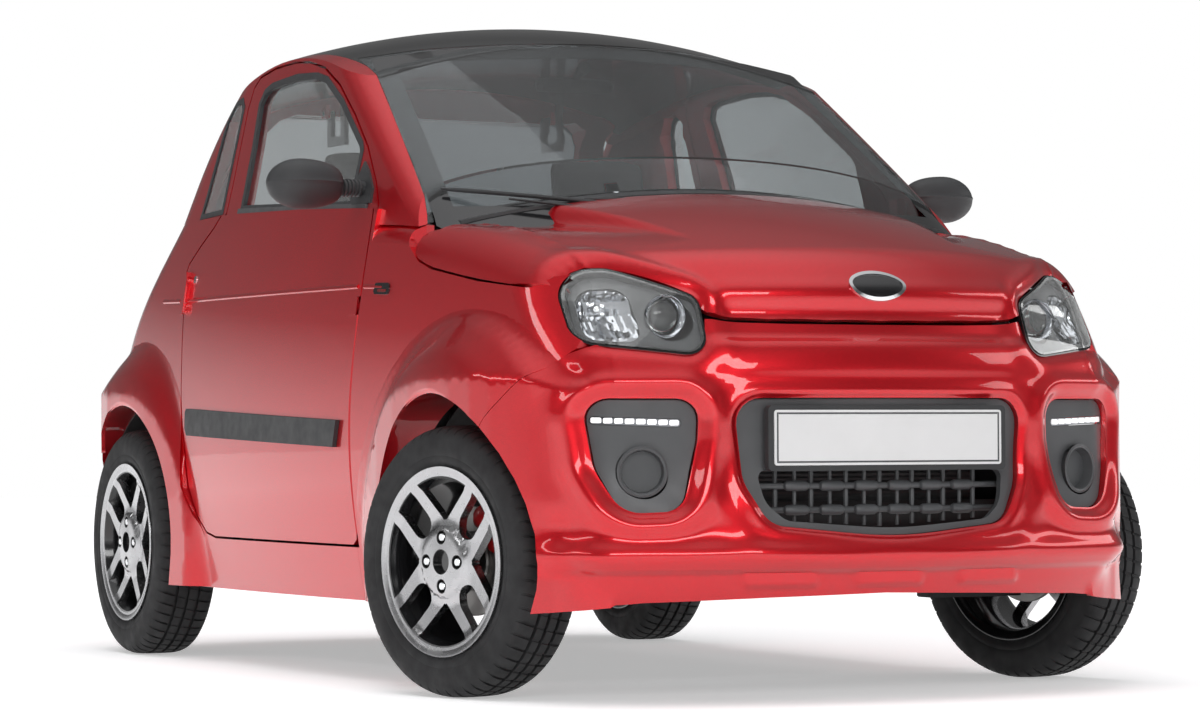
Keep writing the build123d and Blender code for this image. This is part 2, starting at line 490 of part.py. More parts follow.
# ---------------------------------------------------------------- engine bay and underside
rail_in = 380 - 0.3
put("engine", block(-250, 250, -1190, -780, 300, 640) + block(-rail_in, rail_in, -1040, -960, 320, 360) + block(-rail_in, rail_in, -870, -830, 320, 360))
put("radiator", block(-270, 270, -1340, -1305, 300, 630) + block(-290, 290, -1350 + 0.3, -1339, 305, 380))
axle = cyl_x(-592, 592, AXLE_R_Y, WHEEL_Z, 28)
for x in (-490, 460):
    axle = axle + block(x, x + 30, 690, 1112, 262, 300) + block(x, x + 30, 690, 720, 262, 370 - 0.3)
    axle = axle + Pos(x + 15, 1090, (290 + 369.7) / 2) * Cylinder(20, 369.7 - 290)
put("rear_axle", axle)
for side, sx in (("right", -1), ("left", 1)):
    arm = Pos(sx * 500, KINGPIN_Y, 188) * Box(190, 60, 14) + Pos(sx * 615, KINGPIN_Y, 188) * Box(52, 22, 14)
    arm = arm + Pos(sx * 415, KINGPIN_Y, 243) * Box(26, 60, 120)
    arm = arm + Pos(sx * KINGPIN_X, KINGPIN_Y, (190 + KNUCKLE_LOW - 0.3) / 2) * Cylinder(12, KNUCKLE_LOW - 0.3 - 190)
    put("front_arm_" + side, arm)

# ---------------------------------------------------------------- road wheels
def tyre():
    half = [(0, 278.5), (42, 277.6), (60, 273), (71, 262), (76.5, 245), (77.5, 228), (74, 208), (69.5, 197), (69.5, 181)]
    pts = [(-a, b) for a, b in reversed(half)] + half[1:]
    f = make_face(Polyline(*[(a, b, 0) for a, b in pts], close=True))
    return revolve(f, axis=Axis.X)


def rim():
    """Wheel with the outer face on -x: barrel, and a dished face cut into four arches of two spokes."""
    half = [(0, 170), (60, 170), (70, 176), (76, 190), (76, RIM_R), (71, RIM_R), (71, RIM_SEAT_R), (0, RIM_SEAT_R)]
    outline = half + [(-a, b) for a, b in reversed(half) if a > 0]
    ring = revolve(make_face(Polyline(*[(a, b, 0) for a, b in outline], close=True)), axis=Axis.X)
    face = Circle(RIM_SEAT_R - 0.1) - Circle(26)
    reach, spread = RIM_SEAT_R - 5.4, radians(SPOKE_FAN)
    corner = (reach * sin(spread), reach * cos(spread), 0)
    mirror_corner = (-corner[0], corner[1], 0)
    fan = make_face([Line((0, SPOKE_HUB_R, 0), corner), ThreePointArc(corner, (0, reach, 0), mirror_corner),
                     Line(mirror_corner, (0, SPOKE_HUB_R, 0))])
    slot = Pos(0, SLOT_IN_R) * Circle(SLOT_HALF) + Pos(0, SLOT_IN_R + 45) * Rectangle(2 * SLOT_HALF, 90)
    slot = slot & Circle(reach)
    for k in range(4):
        face = face - Rot(0, 0, 90 * k) * fan - Rot(0, 0, 45 + 90 * k) * slot
    outward = Plane(origin=(-70, 0, 0), x_dir=(0, 1, 0), z_dir=(1, 0, 0))
    core = extrude(outward * face, amount=22) + Pos(-41, 0, 0) * (Rot(0, 90, 0) * (Cylinder(72, 14) - Cylinder(22, 16)))
    core = core + Pos(-16, 0, 0) * (Rot(0, 90, 0) * (Cylinder(62, 36) - Cylinder(22, 40)))
    return ring + core


TYRE, RIM = tyre(), rim()
DISC = Pos(15, 0, 0) * (Rot(0, 90, 0) * (Cylinder(112, 10) - Cylinder(22, 20))) + Pos(10, 0, 0) * (Rot(0, 90, 0) * (Cylinder(60, 20) - Cylinder(22, 30)))


def wheel_place(side, front):
    """Wheel frame: outer face on -x for the right side, turned with the steering at rest."""
    flip = Rot(0, 0, 0) if side == "right" else Rot(0, 0, 180)
    if not front:
        return Pos(-WHEEL_X if side == "right" else WHEEL_X, AXLE_R_Y, WHEEL_Z) * flip
    kx = -KINGPIN_X if side == "right" else KINGPIN_X
    return Pos(kx, KINGPIN_Y, WHEEL_Z) * (Rot(0, 0, STEER_REST) * (flip * Pos(-KINGPIN_IN, 0, 0)))


for side in ("right", "left"):
    for pos in ("front", "rear"):
        pl = wheel_place(side, pos == "front")
        put(f"tyre_{pos}_{side}", pl * TYRE)
        put(f"rim_{pos}_{side}", pl * (RIM + DISC))
    # steering knuckle turns about the kingpin; its stub carries the wheel
    pl = wheel_place(side, True)
    stub = Pos(24, 0, 0) * (Rot(0, 90, 0) * Cylinder(21.5, 96))
    upright = Pos(50, 0, 0) * Box(42, 70, 2 * (WHEEL_Z - KNUCKLE_LOW))
    caliper = Pos(26, -88, 60) * Box(52, 40, 70) - Pos(15, 0, 0) * (Rot(0, 90, 0) * Cylinder(116, 17))
    bracket = Pos(52, -62, 40) * Box(14, 70, 40)
    arm = Pos(58, 62, -40) * Box(20, 90, 16)
    kn = stub + upright + caliper + bracket + arm
    put("knuckle_" + side, pl * kn)
    plr = wheel_place(side, False)
    put("hub_rear_" + side, plr * (Pos(24, 0, 0) * (Rot(0, 90, 0) * Cylinder(21.5, 96)) + Pos(82, 0, 0) * (Rot(0, 90, 0) * Cylinder(70, 20)) ))

# ---------------------------------------------------------------- outside fittings
egg = make_face([ThreePointArc((-MIRROR_TIP, 0), (-(MIRROR_TIP + MIRROR_ROOT) / 2, MIRROR_R), (-MIRROR_ROOT, 24)),
                 Line((-MIRROR_ROOT, 24), (-MIRROR_ROOT, 0)), Line((-MIRROR_ROOT, 0), (-MIRROR_TIP, 0))])
mirror_r = Pos(0, -320, 1088) * revolve(egg, axis=Axis.X) - block(-1000, -600, -296, -200, 1000, 1200)
neck = cyl_x(-MIRROR_ROOT - 6, -655, -317, 1081, 15)
put("mirror_right", mirror_r + (neck - body(UPPER, -0.4)))
put("mirror_left", left(mirror_r + (neck - body(UPPER, -0.4))))
mould = body(LOWER, -10) & side_prism([(-348, 572), (-330, 513), (604, 542), (618, 560), (616, 598), (606, 606)], -800, -600) - body(LOWER, -0.3)
put("moulding_right", mould)
put("moulding_left", left(mould))
handle = body(LOWER, -12) & side_prism([(690, 840), (704, 836), (716, 850), (728, 920), (722, 936), (706, 938), (694, 920)], -800, -600) - body(LOWER, -0.3)
put("handle_right", handle)
put("handle_left", left(handle))
plate = Pos(0, PLATE_Y + 1.5, 528) * Box(520, 3, 110)
plate = plate + (block(-190, 190, PLATE_Y + 2, PLATE_Y + 60, 490, 566) - body(LOWER, 22 - 0.3))
plate = max(plate.solids(), key=lambda p: p.volume)
put("number_plate_front", plate)


# ---------------------------------------------------------------- nodes that are one piece on the car
def merge(name, *others):
    shape = PARTS[name]
    for o in others:
        shape = shape + PARTS.pop(o)
    PARTS[name] = shape


merge("chassis_tub", "arch_liner_front_right", "arch_liner_front_left", "arch_liner_rear_right", "arch_liner_rear_left",
      "front_arm_right", "front_arm_left")
merge("rear_axle", "hub_rear_right", "hub_rear_left")
merge("door_right", "handle_right")
merge("door_left", "handle_left")
for new, a, b in (("quarter_glass", "quarter_glass_right", "quarter_glass_left"), ("tail_lamps", "tail_lamp_right", "tail_lamp_left"),
                  ("fog_inserts", "fog_insert_right", "fog_insert_left")):
    PARTS[new] = PARTS.pop(a) + PARTS.pop(b)

for name, shape in PARTS.items():
    export_step(shape, f"parts/{name}.step")
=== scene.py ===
"""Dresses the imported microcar: paint, glass, lamps, grille, wheels, trim, cabin, light and camera.
Lengths are in millimetres until a mesh is made, in the part's frame: x to the car's left,
y to the rear, z up."""
from math import acos, atan2, cos, hypot, pi, radians, sin, sqrt, tan

import bmesh
import bpy
import numpy as np
from mathutils import Matrix, Vector, geometry

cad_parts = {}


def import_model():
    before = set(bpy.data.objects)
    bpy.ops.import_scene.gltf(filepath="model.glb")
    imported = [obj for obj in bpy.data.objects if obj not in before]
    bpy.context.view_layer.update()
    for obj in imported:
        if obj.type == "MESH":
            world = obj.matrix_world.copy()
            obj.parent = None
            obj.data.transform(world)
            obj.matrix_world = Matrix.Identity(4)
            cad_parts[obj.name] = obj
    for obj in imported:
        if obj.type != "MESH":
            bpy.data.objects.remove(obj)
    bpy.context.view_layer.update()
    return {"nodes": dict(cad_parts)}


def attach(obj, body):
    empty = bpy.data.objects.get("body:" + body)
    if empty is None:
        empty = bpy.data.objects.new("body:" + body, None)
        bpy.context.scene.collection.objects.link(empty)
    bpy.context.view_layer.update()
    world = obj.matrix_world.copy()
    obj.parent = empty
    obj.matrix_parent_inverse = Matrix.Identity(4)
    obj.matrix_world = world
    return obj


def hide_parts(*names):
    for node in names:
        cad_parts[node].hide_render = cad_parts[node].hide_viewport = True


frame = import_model()
NODES = frame["nodes"]
MM = 0.001
SIDES = (("right", -1), ("left", 1))


# ---------------------------------------------------------------- materials
class Tree:
    """A node tree, with short ways to add nodes and join them."""

    def __init__(self, tree):
        self.tree = tree

    def feed(self, socket, value):
        """Links an output to a socket, or sets the socket's own value."""
        if isinstance(value, bpy.types.NodeSocket):
            self.tree.links.new(value, socket)
        else:
            socket.default_value = value

    def add(self, kind, **inputs):
        node = self.tree.nodes.new(kind)
        for key, value in inputs.items():
            self.feed(node.inputs[key.replace("_", " ")], value)
        return node

    def maths(self, operation, a, b):
        node = self.add("ShaderNodeMath")
        node.operation = operation
        self.feed(node.inputs[0], a)
        self.feed(node.inputs[1], b)
        return node.outputs[0]

    def ramp(self, source, stops):
        """Colour ramp; stops are pairs of place and colour."""
        node = self.add("ShaderNodeValToRGB", Fac=source)
        elements = node.color_ramp.elements
        while len(elements) < len(stops):
            elements.new(0.5)
        for element, (where, colour) in zip(elements, stops):
            element.position = where
            element.color = (*colour, 1.0)
        return node.outputs["Color"]

    def backdrop_rays(self, gloss):
        """Share of the white backdrop that a ray sees: all by eye and through glass, gloss if mirrored."""
        path = self.add("ShaderNodeLightPath").outputs
        seen = self.maths("MAXIMUM", path["Is Camera Ray"], path["Is Transmission Ray"])
        return self.maths("MAXIMUM", seen, self.maths("MULTIPLY", path["Is Glossy Ray"], gloss))


class Finish(Tree):
    """A material with a Principled shader and textures placed by the object's own coordinates."""

    def __init__(self, name, **sockets):
        self.mat = bpy.data.materials.new(name)
        self.mat.use_nodes = True
        super().__init__(self.mat.node_tree)
        self.shader = self.tree.nodes["Principled BSDF"]
        for key, value in sockets.items():
            self.to(key.replace("_", " "), value)
        self.place = self.add("ShaderNodeTexCoord").outputs["Object"]

    def to(self, socket, value):
        self.feed(self.shader.inputs[socket], value)

    def noise(self, scale, detail=3.0):
        return self.add("ShaderNodeTexNoise", Vector=self.place, Scale=scale, Detail=detail).outputs["Fac"]

    def bump(self, height, strength, distance):
        node = self.add("ShaderNodeBump", Height=height, Strength=strength, Distance=distance)
        self.to("Normal", node.outputs["Normal"])


def shade(colour, by):
    return tuple(min(1.0, c * by) for c in colour)


def grey(value):
    return (value,) * 3


def finish_of(name, colour, rough, grain, depth, vary=0.12, **sockets):
    """Colour and roughness that drift a little over the surface, with a fine grain in the bump."""
    n = Finish(name, **sockets)
    n.to("Base Color", n.ramp(n.noise(9.0), [(0.3, shade(colour, 1 - vary)), (0.7, shade(colour, 1 + vary))]))
    n.to("Roughness", n.ramp(n.noise(31.0), [(0.3, grey(rough * 0.85)), (0.7, grey(min(1.0, rough * 1.15)))]))
    n.bump(n.noise(grain, 4.0), 0.35, depth)
    return n.mat


def paint(name, deep, bright, flake):
    """Metallic lacquer: a flake colour scattered by a fine cell pattern under a clear coat."""
    n = Finish(name, Metallic=0.72, Coat_Weight=1.0, Coat_Roughness=0.03, Coat_IOR=1.5)
    cells = n.add("ShaderNodeTexVoronoi", Vector=n.place, Scale=flake).outputs["Color"]
    tone = n.add("ShaderNodeRGBToBW", Color=cells).outputs["Val"]
    n.to("Base Color", n.ramp(tone, [(0.15, deep), (0.85, bright)]))
    n.to("Roughness", n.ramp(tone, [(0.0, grey(0.30)), (1.0, grey(0.42))]))
    n.bump(n.noise(1400.0, 1.0), 0.10, 0.0001)
    return n.mat


def cloth(name, colour):
    """Woven cover: two crossed wave patterns."""
    n = Finish(name, Sheen_Weight=0.08, Sheen_Roughness=0.5, Roughness=0.9)
    warp, weft = (n.add("ShaderNodeTexWave", Vector=n.place, Scale=190.0, Distortion=1.0) for _ in range(2))
    weft.bands_direction = "Z"
    weave = n.maths("MULTIPLY", warp.outputs["Fac"], weft.outputs["Fac"])
    n.to("Base Color", n.ramp(weave, [(0.0, shade(colour, 0.6)), (1.0, shade(colour, 1.4))]))
    n.bump(weave, 0.25, 0.0003)
    return n.mat


def pane(name, colour):
    """Clear or tinted glass with a faint unevenness."""
    n = Finish(name, Transmission_Weight=1.0, IOR=1.45, Roughness=0.0)
    n.to("Base Color", n.ramp(n.noise(3.0), [(0.3, shade(colour, 0.96)), (0.7, colour)]))
    n.bump(n.noise(0.8, 0.0), 0.01, 0.00002)
    return n.mat


RED = paint("paint_red", (0.42, 0.0010, 0.005), (0.84, 0.004, 0.016), 2600.0)
ROOF = finish_of("roof_gloss", (0.012, 0.012, 0.013), 0.16, 900.0, 0.00002,
                 Coat_Weight=0.8, Coat_Roughness=0.04)
TRIM = finish_of("trim_plastic", (0.035, 0.036, 0.038), 0.52, 1500.0, 0.0002)
GREY = finish_of("grey_plastic", (0.085, 0.088, 0.092), 0.42, 1500.0, 0.0002)
GLOSS = finish_of("black_gloss", (0.010, 0.010, 0.011), 0.14, 700.0, 0.00002,
                  Coat_Weight=0.5, Coat_Roughness=0.05)
RUBBER = finish_of("tyre_rubber", (0.016, 0.016, 0.017), 0.72, 1100.0, 0.0004, vary=0.25)
ALLOY = finish_of("alloy_face", (0.50, 0.50, 0.51), 0.26, 1800.0, 0.00003, vary=0.04, Metallic=1.0)
CHROME = finish_of("chrome", (0.72, 0.73, 0.74), 0.09, 300.0, 0.00001, vary=0.03, Metallic=1.0)
REFLECTOR = finish_of("lamp_reflector", (0.34, 0.35, 0.37), 0.06, 500.0, 0.00004, vary=0.05, Metallic=1.0)
IRON = finish_of("brake_iron", (0.32, 0.31, 0.30), 0.38, 900.0, 0.0001, vary=0.2, Metallic=0.9)
CALIPER = finish_of("caliper_red", (0.42, 0.010, 0.012), 0.30, 500.0, 0.0002,
                    Coat_Weight=0.4, Coat_Roughness=0.1)
STEEL = finish_of("chassis_black", (0.022, 0.022, 0.023), 0.6, 400.0, 0.0004, vary=0.25)
CAST = finish_of("engine_cast", (0.20, 0.20, 0.20), 0.55, 600.0, 0.0005, vary=0.25, Metallic=0.6)
COOLER = finish_of("radiator_metal", (0.06, 0.06, 0.062), 0.5, 500.0, 0.0005, vary=0.25, Metallic=0.5)
CABIN = finish_of("cabin_plastic", (0.030, 0.030, 0.032), 0.6, 1000.0, 0.0004)
PLATE = finish_of("plate_face", (0.88, 0.88, 0.88), 0.35, 500.0, 0.00003, vary=0.02, Coat_Weight=0.3)
LAMP_RED = finish_of("lamp_red", (0.36, 0.004, 0.006), 0.10, 200.0, 0.00003,
                     Coat_Weight=1.0, Coat_Roughness=0.03, Transmission_Weight=0.35)
LED = finish_of("led_cells", (0.92, 0.93, 0.95), 0.15, 300.0, 0.00003, vary=0.03,
                Emission_Color=(1, 1, 1, 1), Emission_Strength=0.5)
CLOTH = cloth("seat_cloth", (0.022, 0.022, 0.024))
TINT = pane("glass_tint", (0.30, 0.32, 0.33))
SIDE_GLASS = pane("glass_side", (0.90, 0.92, 0.92))
CLEAR = pane("lamp_lens", (0.97, 0.98, 0.98))

# the material slots, named as the CAD nodes' materials: the look of a CAD node first, then the looks of
# pieces that share the slot
SLOTS = {
    "structure_dark": [STEEL], "body_red": [RED], "trim_dark": [TRIM, GREY, GLOSS], "plate_white": [PLATE],
    "lamp_clear": [CLEAR, REFLECTOR, LED], "glass_tint": [TINT, SIDE_GLASS], "roof_black": [ROOF],
    "lamp_red": [LAMP_RED], "cabin_plastic": [CABIN], "seat_cloth": [CLOTH], "engine_cast": [CAST],
    "radiator_metal": [COOLER], "brake_iron": [IRON, CALIPER], "tyre_rubber": [RUBBER],
    "rim_alloy": [ALLOY, CHROME],
}
SLOT_OF = {look.name: slot for slot, looks in SLOTS.items() for look in looks}
for node in NODES.values():
    for holder in node.material_slots:
        holder.material = SLOTS[holder.material.name.split(".")[0]][0]
for name in ("door_glass_right", "door_glass_left", "quarter_glass"):
    NODES[name].material_slots[0].material = SIDE_GLASS


# ---------------------------------------------------------------- camera, light and floor, in metres
CAM_PLACE = (-3.940, -8.399, 0.519)
CAM_YAW, CAM_PITCH, CAM_ROLL = radians(25.5), radians(1.15), radians(-0.27)
CAM_FOCUS_PX, IMAGE_W, SENSOR = 3966.0, 1200.0, 36.0
FAR_CLIP = 200.0
# name, place, aim, size, watts, and whether it shows in reflections
LAMPS = (
    ("overhead", (-1.0, -0.6, 5.6), (-0.3, 0.0, 0), (5.0, 7.0), 230.0, False),
    ("front_soft", (-2.5, -8.0, 3.4), (0, -1, 0.4), (5.5, 1.6), 190.0, True),
    ("side_strip", (-7.0, 0.2, 3.6), (0, 0, 0.6), (6.5, 0.6), 60.0, True),
    ("far_side", (6.0, -2.5, 3.2), (0, 0, 0.6), (5.0, 1.0), 45.0, True),
)
# height in the sky from 0 to 1, and its brightness as a light
SKY = ((0.0, 0.95), (0.05, 0.65), (0.12, 0.08), (0.45, 0.05), (0.75, 0.22), (0.95, 0.9))
SKY_IN_GLOSS = 0.06
FLOOR_R, FLOOR_SIDES = 30.0, 96
FLOOR_NEAR, FLOOR_FAR, GLOW_NEAR, GLOW_FAR = 2.0, 8.0, 0.42, 1.0


def link(obj):
    bpy.context.scene.collection.objects.link(obj)
    return obj


def camera():
    """Camera fitted to the photograph, from its place, yaw, pitch and roll."""
    ahead = Vector((sin(CAM_YAW) * cos(CAM_PITCH), cos(CAM_YAW) * cos(CAM_PITCH), sin(CAM_PITCH)))
    flat = Vector((cos(CAM_YAW), -sin(CAM_YAW), 0.0))
    up = flat.cross(ahead)
    right = cos(CAM_ROLL) * flat + sin(CAM_ROLL) * up
    up = -sin(CAM_ROLL) * flat + cos(CAM_ROLL) * up
    data = bpy.data.cameras.new("camera")
    data.sensor_width = SENSOR
    data.lens = CAM_FOCUS_PX * SENSOR / IMAGE_W
    data.clip_end = FAR_CLIP
    eye = link(bpy.data.objects.new("camera", data))
    eye.matrix_world = Matrix.Translation(CAM_PLACE) @ Matrix((right, up, -ahead)).transposed().to_4x4()
    bpy.context.scene.camera = eye


def lamp(name, place, aim, size, watts, in_reflections):
    """Rectangular area light aimed at a point."""
    data = bpy.data.lights.new(name, "AREA")
    data.shape = "RECTANGLE"
    data.size, data.size_y = size
    data.energy = watts
    holder = link(bpy.data.objects.new(name, data))
    holder.location = place
    holder.rotation_euler = (Vector(aim) - Vector(place)).to_track_quat("-Z", "Y").to_euler()
    holder.visible_glossy = in_reflections


def world():
    """White to the eye and in glass, softer as a light on the object."""
    sky = bpy.data.worlds.new("studio")
    bpy.context.scene.world = sky
    bpy.context.scene.view_settings.view_transform = "Standard"
    sky.use_nodes = True
    n = Tree(sky.node_tree)
    split = n.add("ShaderNodeSeparateXYZ", Vector=n.add("ShaderNodeTexCoord").outputs["Generated"])
    light = n.ramp(split.outputs["Z"], [(where, (tone, tone, tone * 1.01)) for where, tone in SKY])
    mix = n.add("ShaderNodeMix")
    mix.data_type = "RGBA"
    sockets = {socket.identifier: socket for socket in (*mix.inputs, *mix.outputs)}
    n.feed(sockets["Factor_Float"], n.backdrop_rays(SKY_IN_GLOSS))
    n.feed(sockets["A_Color"], light)
    n.feed(sockets["B_Color"], (1.0, 1.0, 1.0, 1.0))
    back = n.tree.nodes["Background"].inputs
    n.feed(back["Color"], sockets["Result_Color"])
    n.feed(back["Strength"], 1.0)


def floor():
    """Pale round floor whose rim melts into the white background."""
    disc = bmesh.new()
    bmesh.ops.create_circle(disc, cap_ends=True, segments=FLOOR_SIDES, radius=FLOOR_R)
    mesh = bpy.data.meshes.new("studio_floor")
    disc.to_mesh(mesh)
    disc.free()
    ground = link(bpy.data.objects.new("studio_floor", mesh))
    n = Finish("floor_paper", Roughness=0.85, Specular_IOR_Level=0.15, Emission_Color=(1.0, 1.0, 1.0, 1.0))
    away = n.add("ShaderNodeVectorMath")
    away.operation = "LENGTH"
    n.feed(away.inputs[0], n.place)
    glow = n.add("ShaderNodeMapRange", Value=away.outputs["Value"], From_Min=FLOOR_NEAR, From_Max=FLOOR_FAR,
                 To_Min=GLOW_NEAR, To_Max=GLOW_FAR).outputs["Result"]
    n.to("Emission Strength", n.maths("MULTIPLY", glow, n.backdrop_rays(1.0)))
    n.to("Base Color", n.ramp(n.noise(2.0), [(0.3, (0.80, 0.80, 0.81)), (0.7, (0.82, 0.82, 0.83))]))
    n.bump(n.noise(300.0), 0.05, 0.0005)
    mesh.materials.append(n.mat)


camera()
world()
floor()
for row in LAMPS:
    lamp(*row)


# ---------------------------------------------------------------- mesh helpers
def piece(name, solid, look, body, *nodes, crease=35.0, slot=None):
    """A closed mesh, in millimetres, that rides on a body and may stand for CAD nodes."""
    verts, faces = solid
    mesh = bpy.data.meshes.new(name)
    points = [tuple(float(c) * MM for c in v) for v in verts]
    mesh.from_pydata(points, [], [tuple(map(int, f)) for f in faces])
    tidy = bmesh.new()
    tidy.from_mesh(mesh)
    bmesh.ops.remove_doubles(tidy, verts=tidy.verts, dist=1e-6)
    bmesh.ops.recalc_face_normals(tidy, faces=tidy.faces)
    tidy.to_mesh(mesh)
    tidy.free()
    mesh.materials.append(look)
    mesh.polygons.foreach_set("use_smooth", [True] * len(mesh.polygons))
    mesh.set_sharp_from_angle(angle=radians(crease))
    obj = link(bpy.data.objects.new(name, mesh))
    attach(obj, body)
    slot or SLOT_OF[look.name]
    if nodes:
        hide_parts(*nodes)
    return obj


def join(*solids):
    verts, faces = [], []
    for v, f in solids:
        start = len(verts)
        verts += [tuple(p) for p in v]
        faces += [tuple(k + start for k in face) for face in f]
    return verts, faces


def moved(solid, matrix):
    return [matrix @ Vector(v) for v in solid[0]], solid[1]


def mirrored(solid):
    return [(-v[0], v[1], v[2]) for v in solid[0]], solid[1]


def on_side(solid, sign, made_for=1):
    """A solid made for one side of the car, mirrored where it goes on the other."""
    return solid if sign == made_for else mirrored(solid)


def grid(rows, n, closed=True, wrap=False):
    """Faces between rows of n points. closed joins a row's ends; wrap joins the last row to the first,
    and otherwise both end rows are capped."""
    pairs = [(k, (k + 1) % rows) for k in range(rows if wrap else rows - 1)]
    faces = [(a * n + i, a * n + (i + 1) % n, b * n + (i + 1) % n, b * n + i)
             for a, b in pairs for i in range(n if closed else n - 1)]
    if not wrap:
        faces += [tuple(range(n)), tuple(reversed(range((rows - 1) * n, rows * n)))]
    return faces


def lathe(profile, steps=64, closed=False):
    """Profile of x and radius turned about the x axis."""
    angles = [2 * pi * k / steps for k in range(steps)]
    verts = [(x, -r * sin(a), r * cos(a)) for a in angles for x, r in profile]
    return verts, grid(steps, len(profile), closed, wrap=True)


def tube(path, radius, sides=10, flat=1.0):
    """Round or flattened bar along a path; radius is one number, or one for each point."""
    path = [Vector(p) for p in path]
    radii = radius if isinstance(radius, (list, tuple)) else [radius] * len(path)
    verts = []
    for i, p in enumerate(path):
        ahead = (path[min(i + 1, len(path) - 1)] - path[max(i - 1, 0)]).normalized()
        side = ahead.cross(Vector((0, 0, 1)) if abs(ahead.z) < 0.9 else Vector((0, 1, 0))).normalized()
        up = side.cross(ahead)
        for k in range(sides):
            a = 2 * pi * k / sides
            verts.append(p + radii[i] * (cos(a) * side + flat * sin(a) * up))
    return verts, grid(len(path), sides)


def oval(x, y, a, b, n):
    """Outline of n points round (x, y) with half widths a and b."""
    return [(x + a * cos(t), y + b * sin(t)) for t in np.linspace(0, 2 * pi, n, endpoint=False)]


def rounded(corners, arc_steps=6):
    """Outline with arcs at its corners: a, b and radius of each corner."""
    loop = []
    for i, (a, b, r) in enumerate(corners):
        here = Vector((a, b))
        u = (Vector(corners[i - 1][:2]) - here).normalized()
        v = (Vector(corners[(i + 1) % len(corners)][:2]) - here).normalized()
        half = u.angle(v) / 2
        middle = here + (u + v).normalized() * (r / sin(half))
        start, end = here + u * (r / tan(half)) - middle, here + v * (r / tan(half)) - middle
        turn = start.angle_signed(end)
        for k in range(arc_steps + 1):
            t = -turn * k / arc_steps
            loop.append((middle.x + start.x * cos(t) - start.y * sin(t),
                         middle.y + start.x * sin(t) + start.y * cos(t)))
    return loop


def grow(loop, by):
    """Outline moved outwards; inwards where by is negative."""
    p = np.array(loop, float)
    area = np.sum(p[:, 0] * np.roll(p[:, 1], -1) - np.roll(p[:, 0], -1) * p[:, 1])
    edge = np.roll(p, -1, 0) - p
    edge /= np.maximum(np.linalg.norm(edge, axis=1, keepdims=True), 1e-9)
    normal = np.stack([edge[:, 1], -edge[:, 0]], 1) * np.sign(area)
    both = normal + np.roll(normal, 1, 0)
    both /= np.maximum(np.sum(both * both, 1, keepdims=True) / 2, 0.35)
    return [tuple(q) for q in p + by * both]


def twin(loop):
    """Outline on the other side of the car."""
    return [(-u, v) for u, v in loop]


def whole(half):
    """Outline of the left half, closed by its mirror image."""
    return half + [(-u, v) for u, v in reversed(half) if u > 1]


def spaced(loop, step):
    """Outline with extra points, so that no side is much longer than step."""
    out = []
    for a, b in zip(loop, loop[1:] + loop[:1]):
        n = max(1, round(hypot(b[0] - a[0], b[1] - a[1]) / step))
        out += [(a[0] + (b[0] - a[0]) * k / n, a[1] + (b[1] - a[1]) * k / n) for k in range(n)]
    return out


def inside(loops, u, v):
    """True where a point lies inside the first outline and outside the others."""
    odd = np.zeros(len(u), bool)
    for loop in loops:
        p = np.array(loop)
        for (ax, ay), (bx, by) in zip(p, np.roll(p, -1, 0)):
            if ay != by:
                odd ^= ((ay > v) != (by > v)) & (u < (bx - ax) * (v - ay) / (by - ay) + ax)
    return odd


def reach(loop, u, v):
    """Distance from each point to an outline, negative inside it."""
    p = np.array(loop, float)
    best = np.full(len(u), 1e9)
    for a, b in zip(p, np.roll(p, -1, 0)):
        d = b - a
        t = np.clip(((u - a[0]) * d[0] + (v - a[1]) * d[1]) / max(d @ d, 1e-9), 0, 1)
        best = np.minimum(best, np.hypot(u - a[0] - t * d[0], v - a[1] - t * d[1]))
    return np.where(inside([loop], u, v), -best, best)


def clear_of(loops, lines, u, v, least):
    """True where a point is inside a sheet's outlines and further than least from each line."""
    keep = inside(loops, u, v)
    for loop in lines:
        keep[keep] = np.abs(reach(loop, u[keep], v[keep])) > least
    return keep


def sheet(loops, step, outer, inner, rings=()):
    """Closed shell over a flat outline with holes. outer and inner turn arrays u, v into points.
    Rings are lines of extra points that follow a form closely."""
    loops = [spaced(list(loop), step) for loop in loops]
    points = [p for loop in loops for p in loop]
    edges, at = [], 0
    for loop in loops:
        edges += [(at + k, at + (k + 1) % len(loop)) for k in range(len(loop))]
        at += len(loop)
    low, high = np.min(points, 0), np.max(points, 0)
    u, v = (g.ravel() for g in np.meshgrid(*(np.arange(low[k] + step / 2, high[k], step) for k in (0, 1))))
    keep = clear_of(loops, [*loops, *rings], u, v, 0.45 * step)
    points += list(zip(u[keep], v[keep]))
    for ring in rings:
        u, v = np.array(spaced(list(ring), 0.8 * step)).T
        keep = clear_of(loops, loops, u, v, 1.5)
        points += list(zip(u[keep], v[keep]))
    found = geometry.delaunay_2d_cdt([Vector(p) for p in points], edges, [], 0, 1e-6)
    flat = np.array([tuple(p) for p in found[0]])
    tris = np.array([f for f in found[2]])
    middle = flat[tris].mean(1)
    tris = tris[inside(loops, middle[:, 0], middle[:, 1])]
    n = len(flat)
    ways = dict.fromkeys((t[a], t[b]) for t in tris for a, b in ((0, 1), (1, 2), (2, 0)))
    rim = [(a, b) for a, b in ways if (b, a) not in ways]
    verts = np.concatenate([outer(flat[:, 0], flat[:, 1]), inner(flat[:, 0], flat[:, 1])])
    faces = [tuple(t) for t in tris] + [tuple(t[::-1] + n) for t in tris]
    return verts, faces + [(b, a, a + n, b + n) for a, b in rim]


def smooth(t):
    """Soft step from 0 to 1."""
    t = np.clip(t, 0.0, 1.0)
    return t * t * (3 - 2 * t)


def bell(t):
    return np.exp(-t * t)


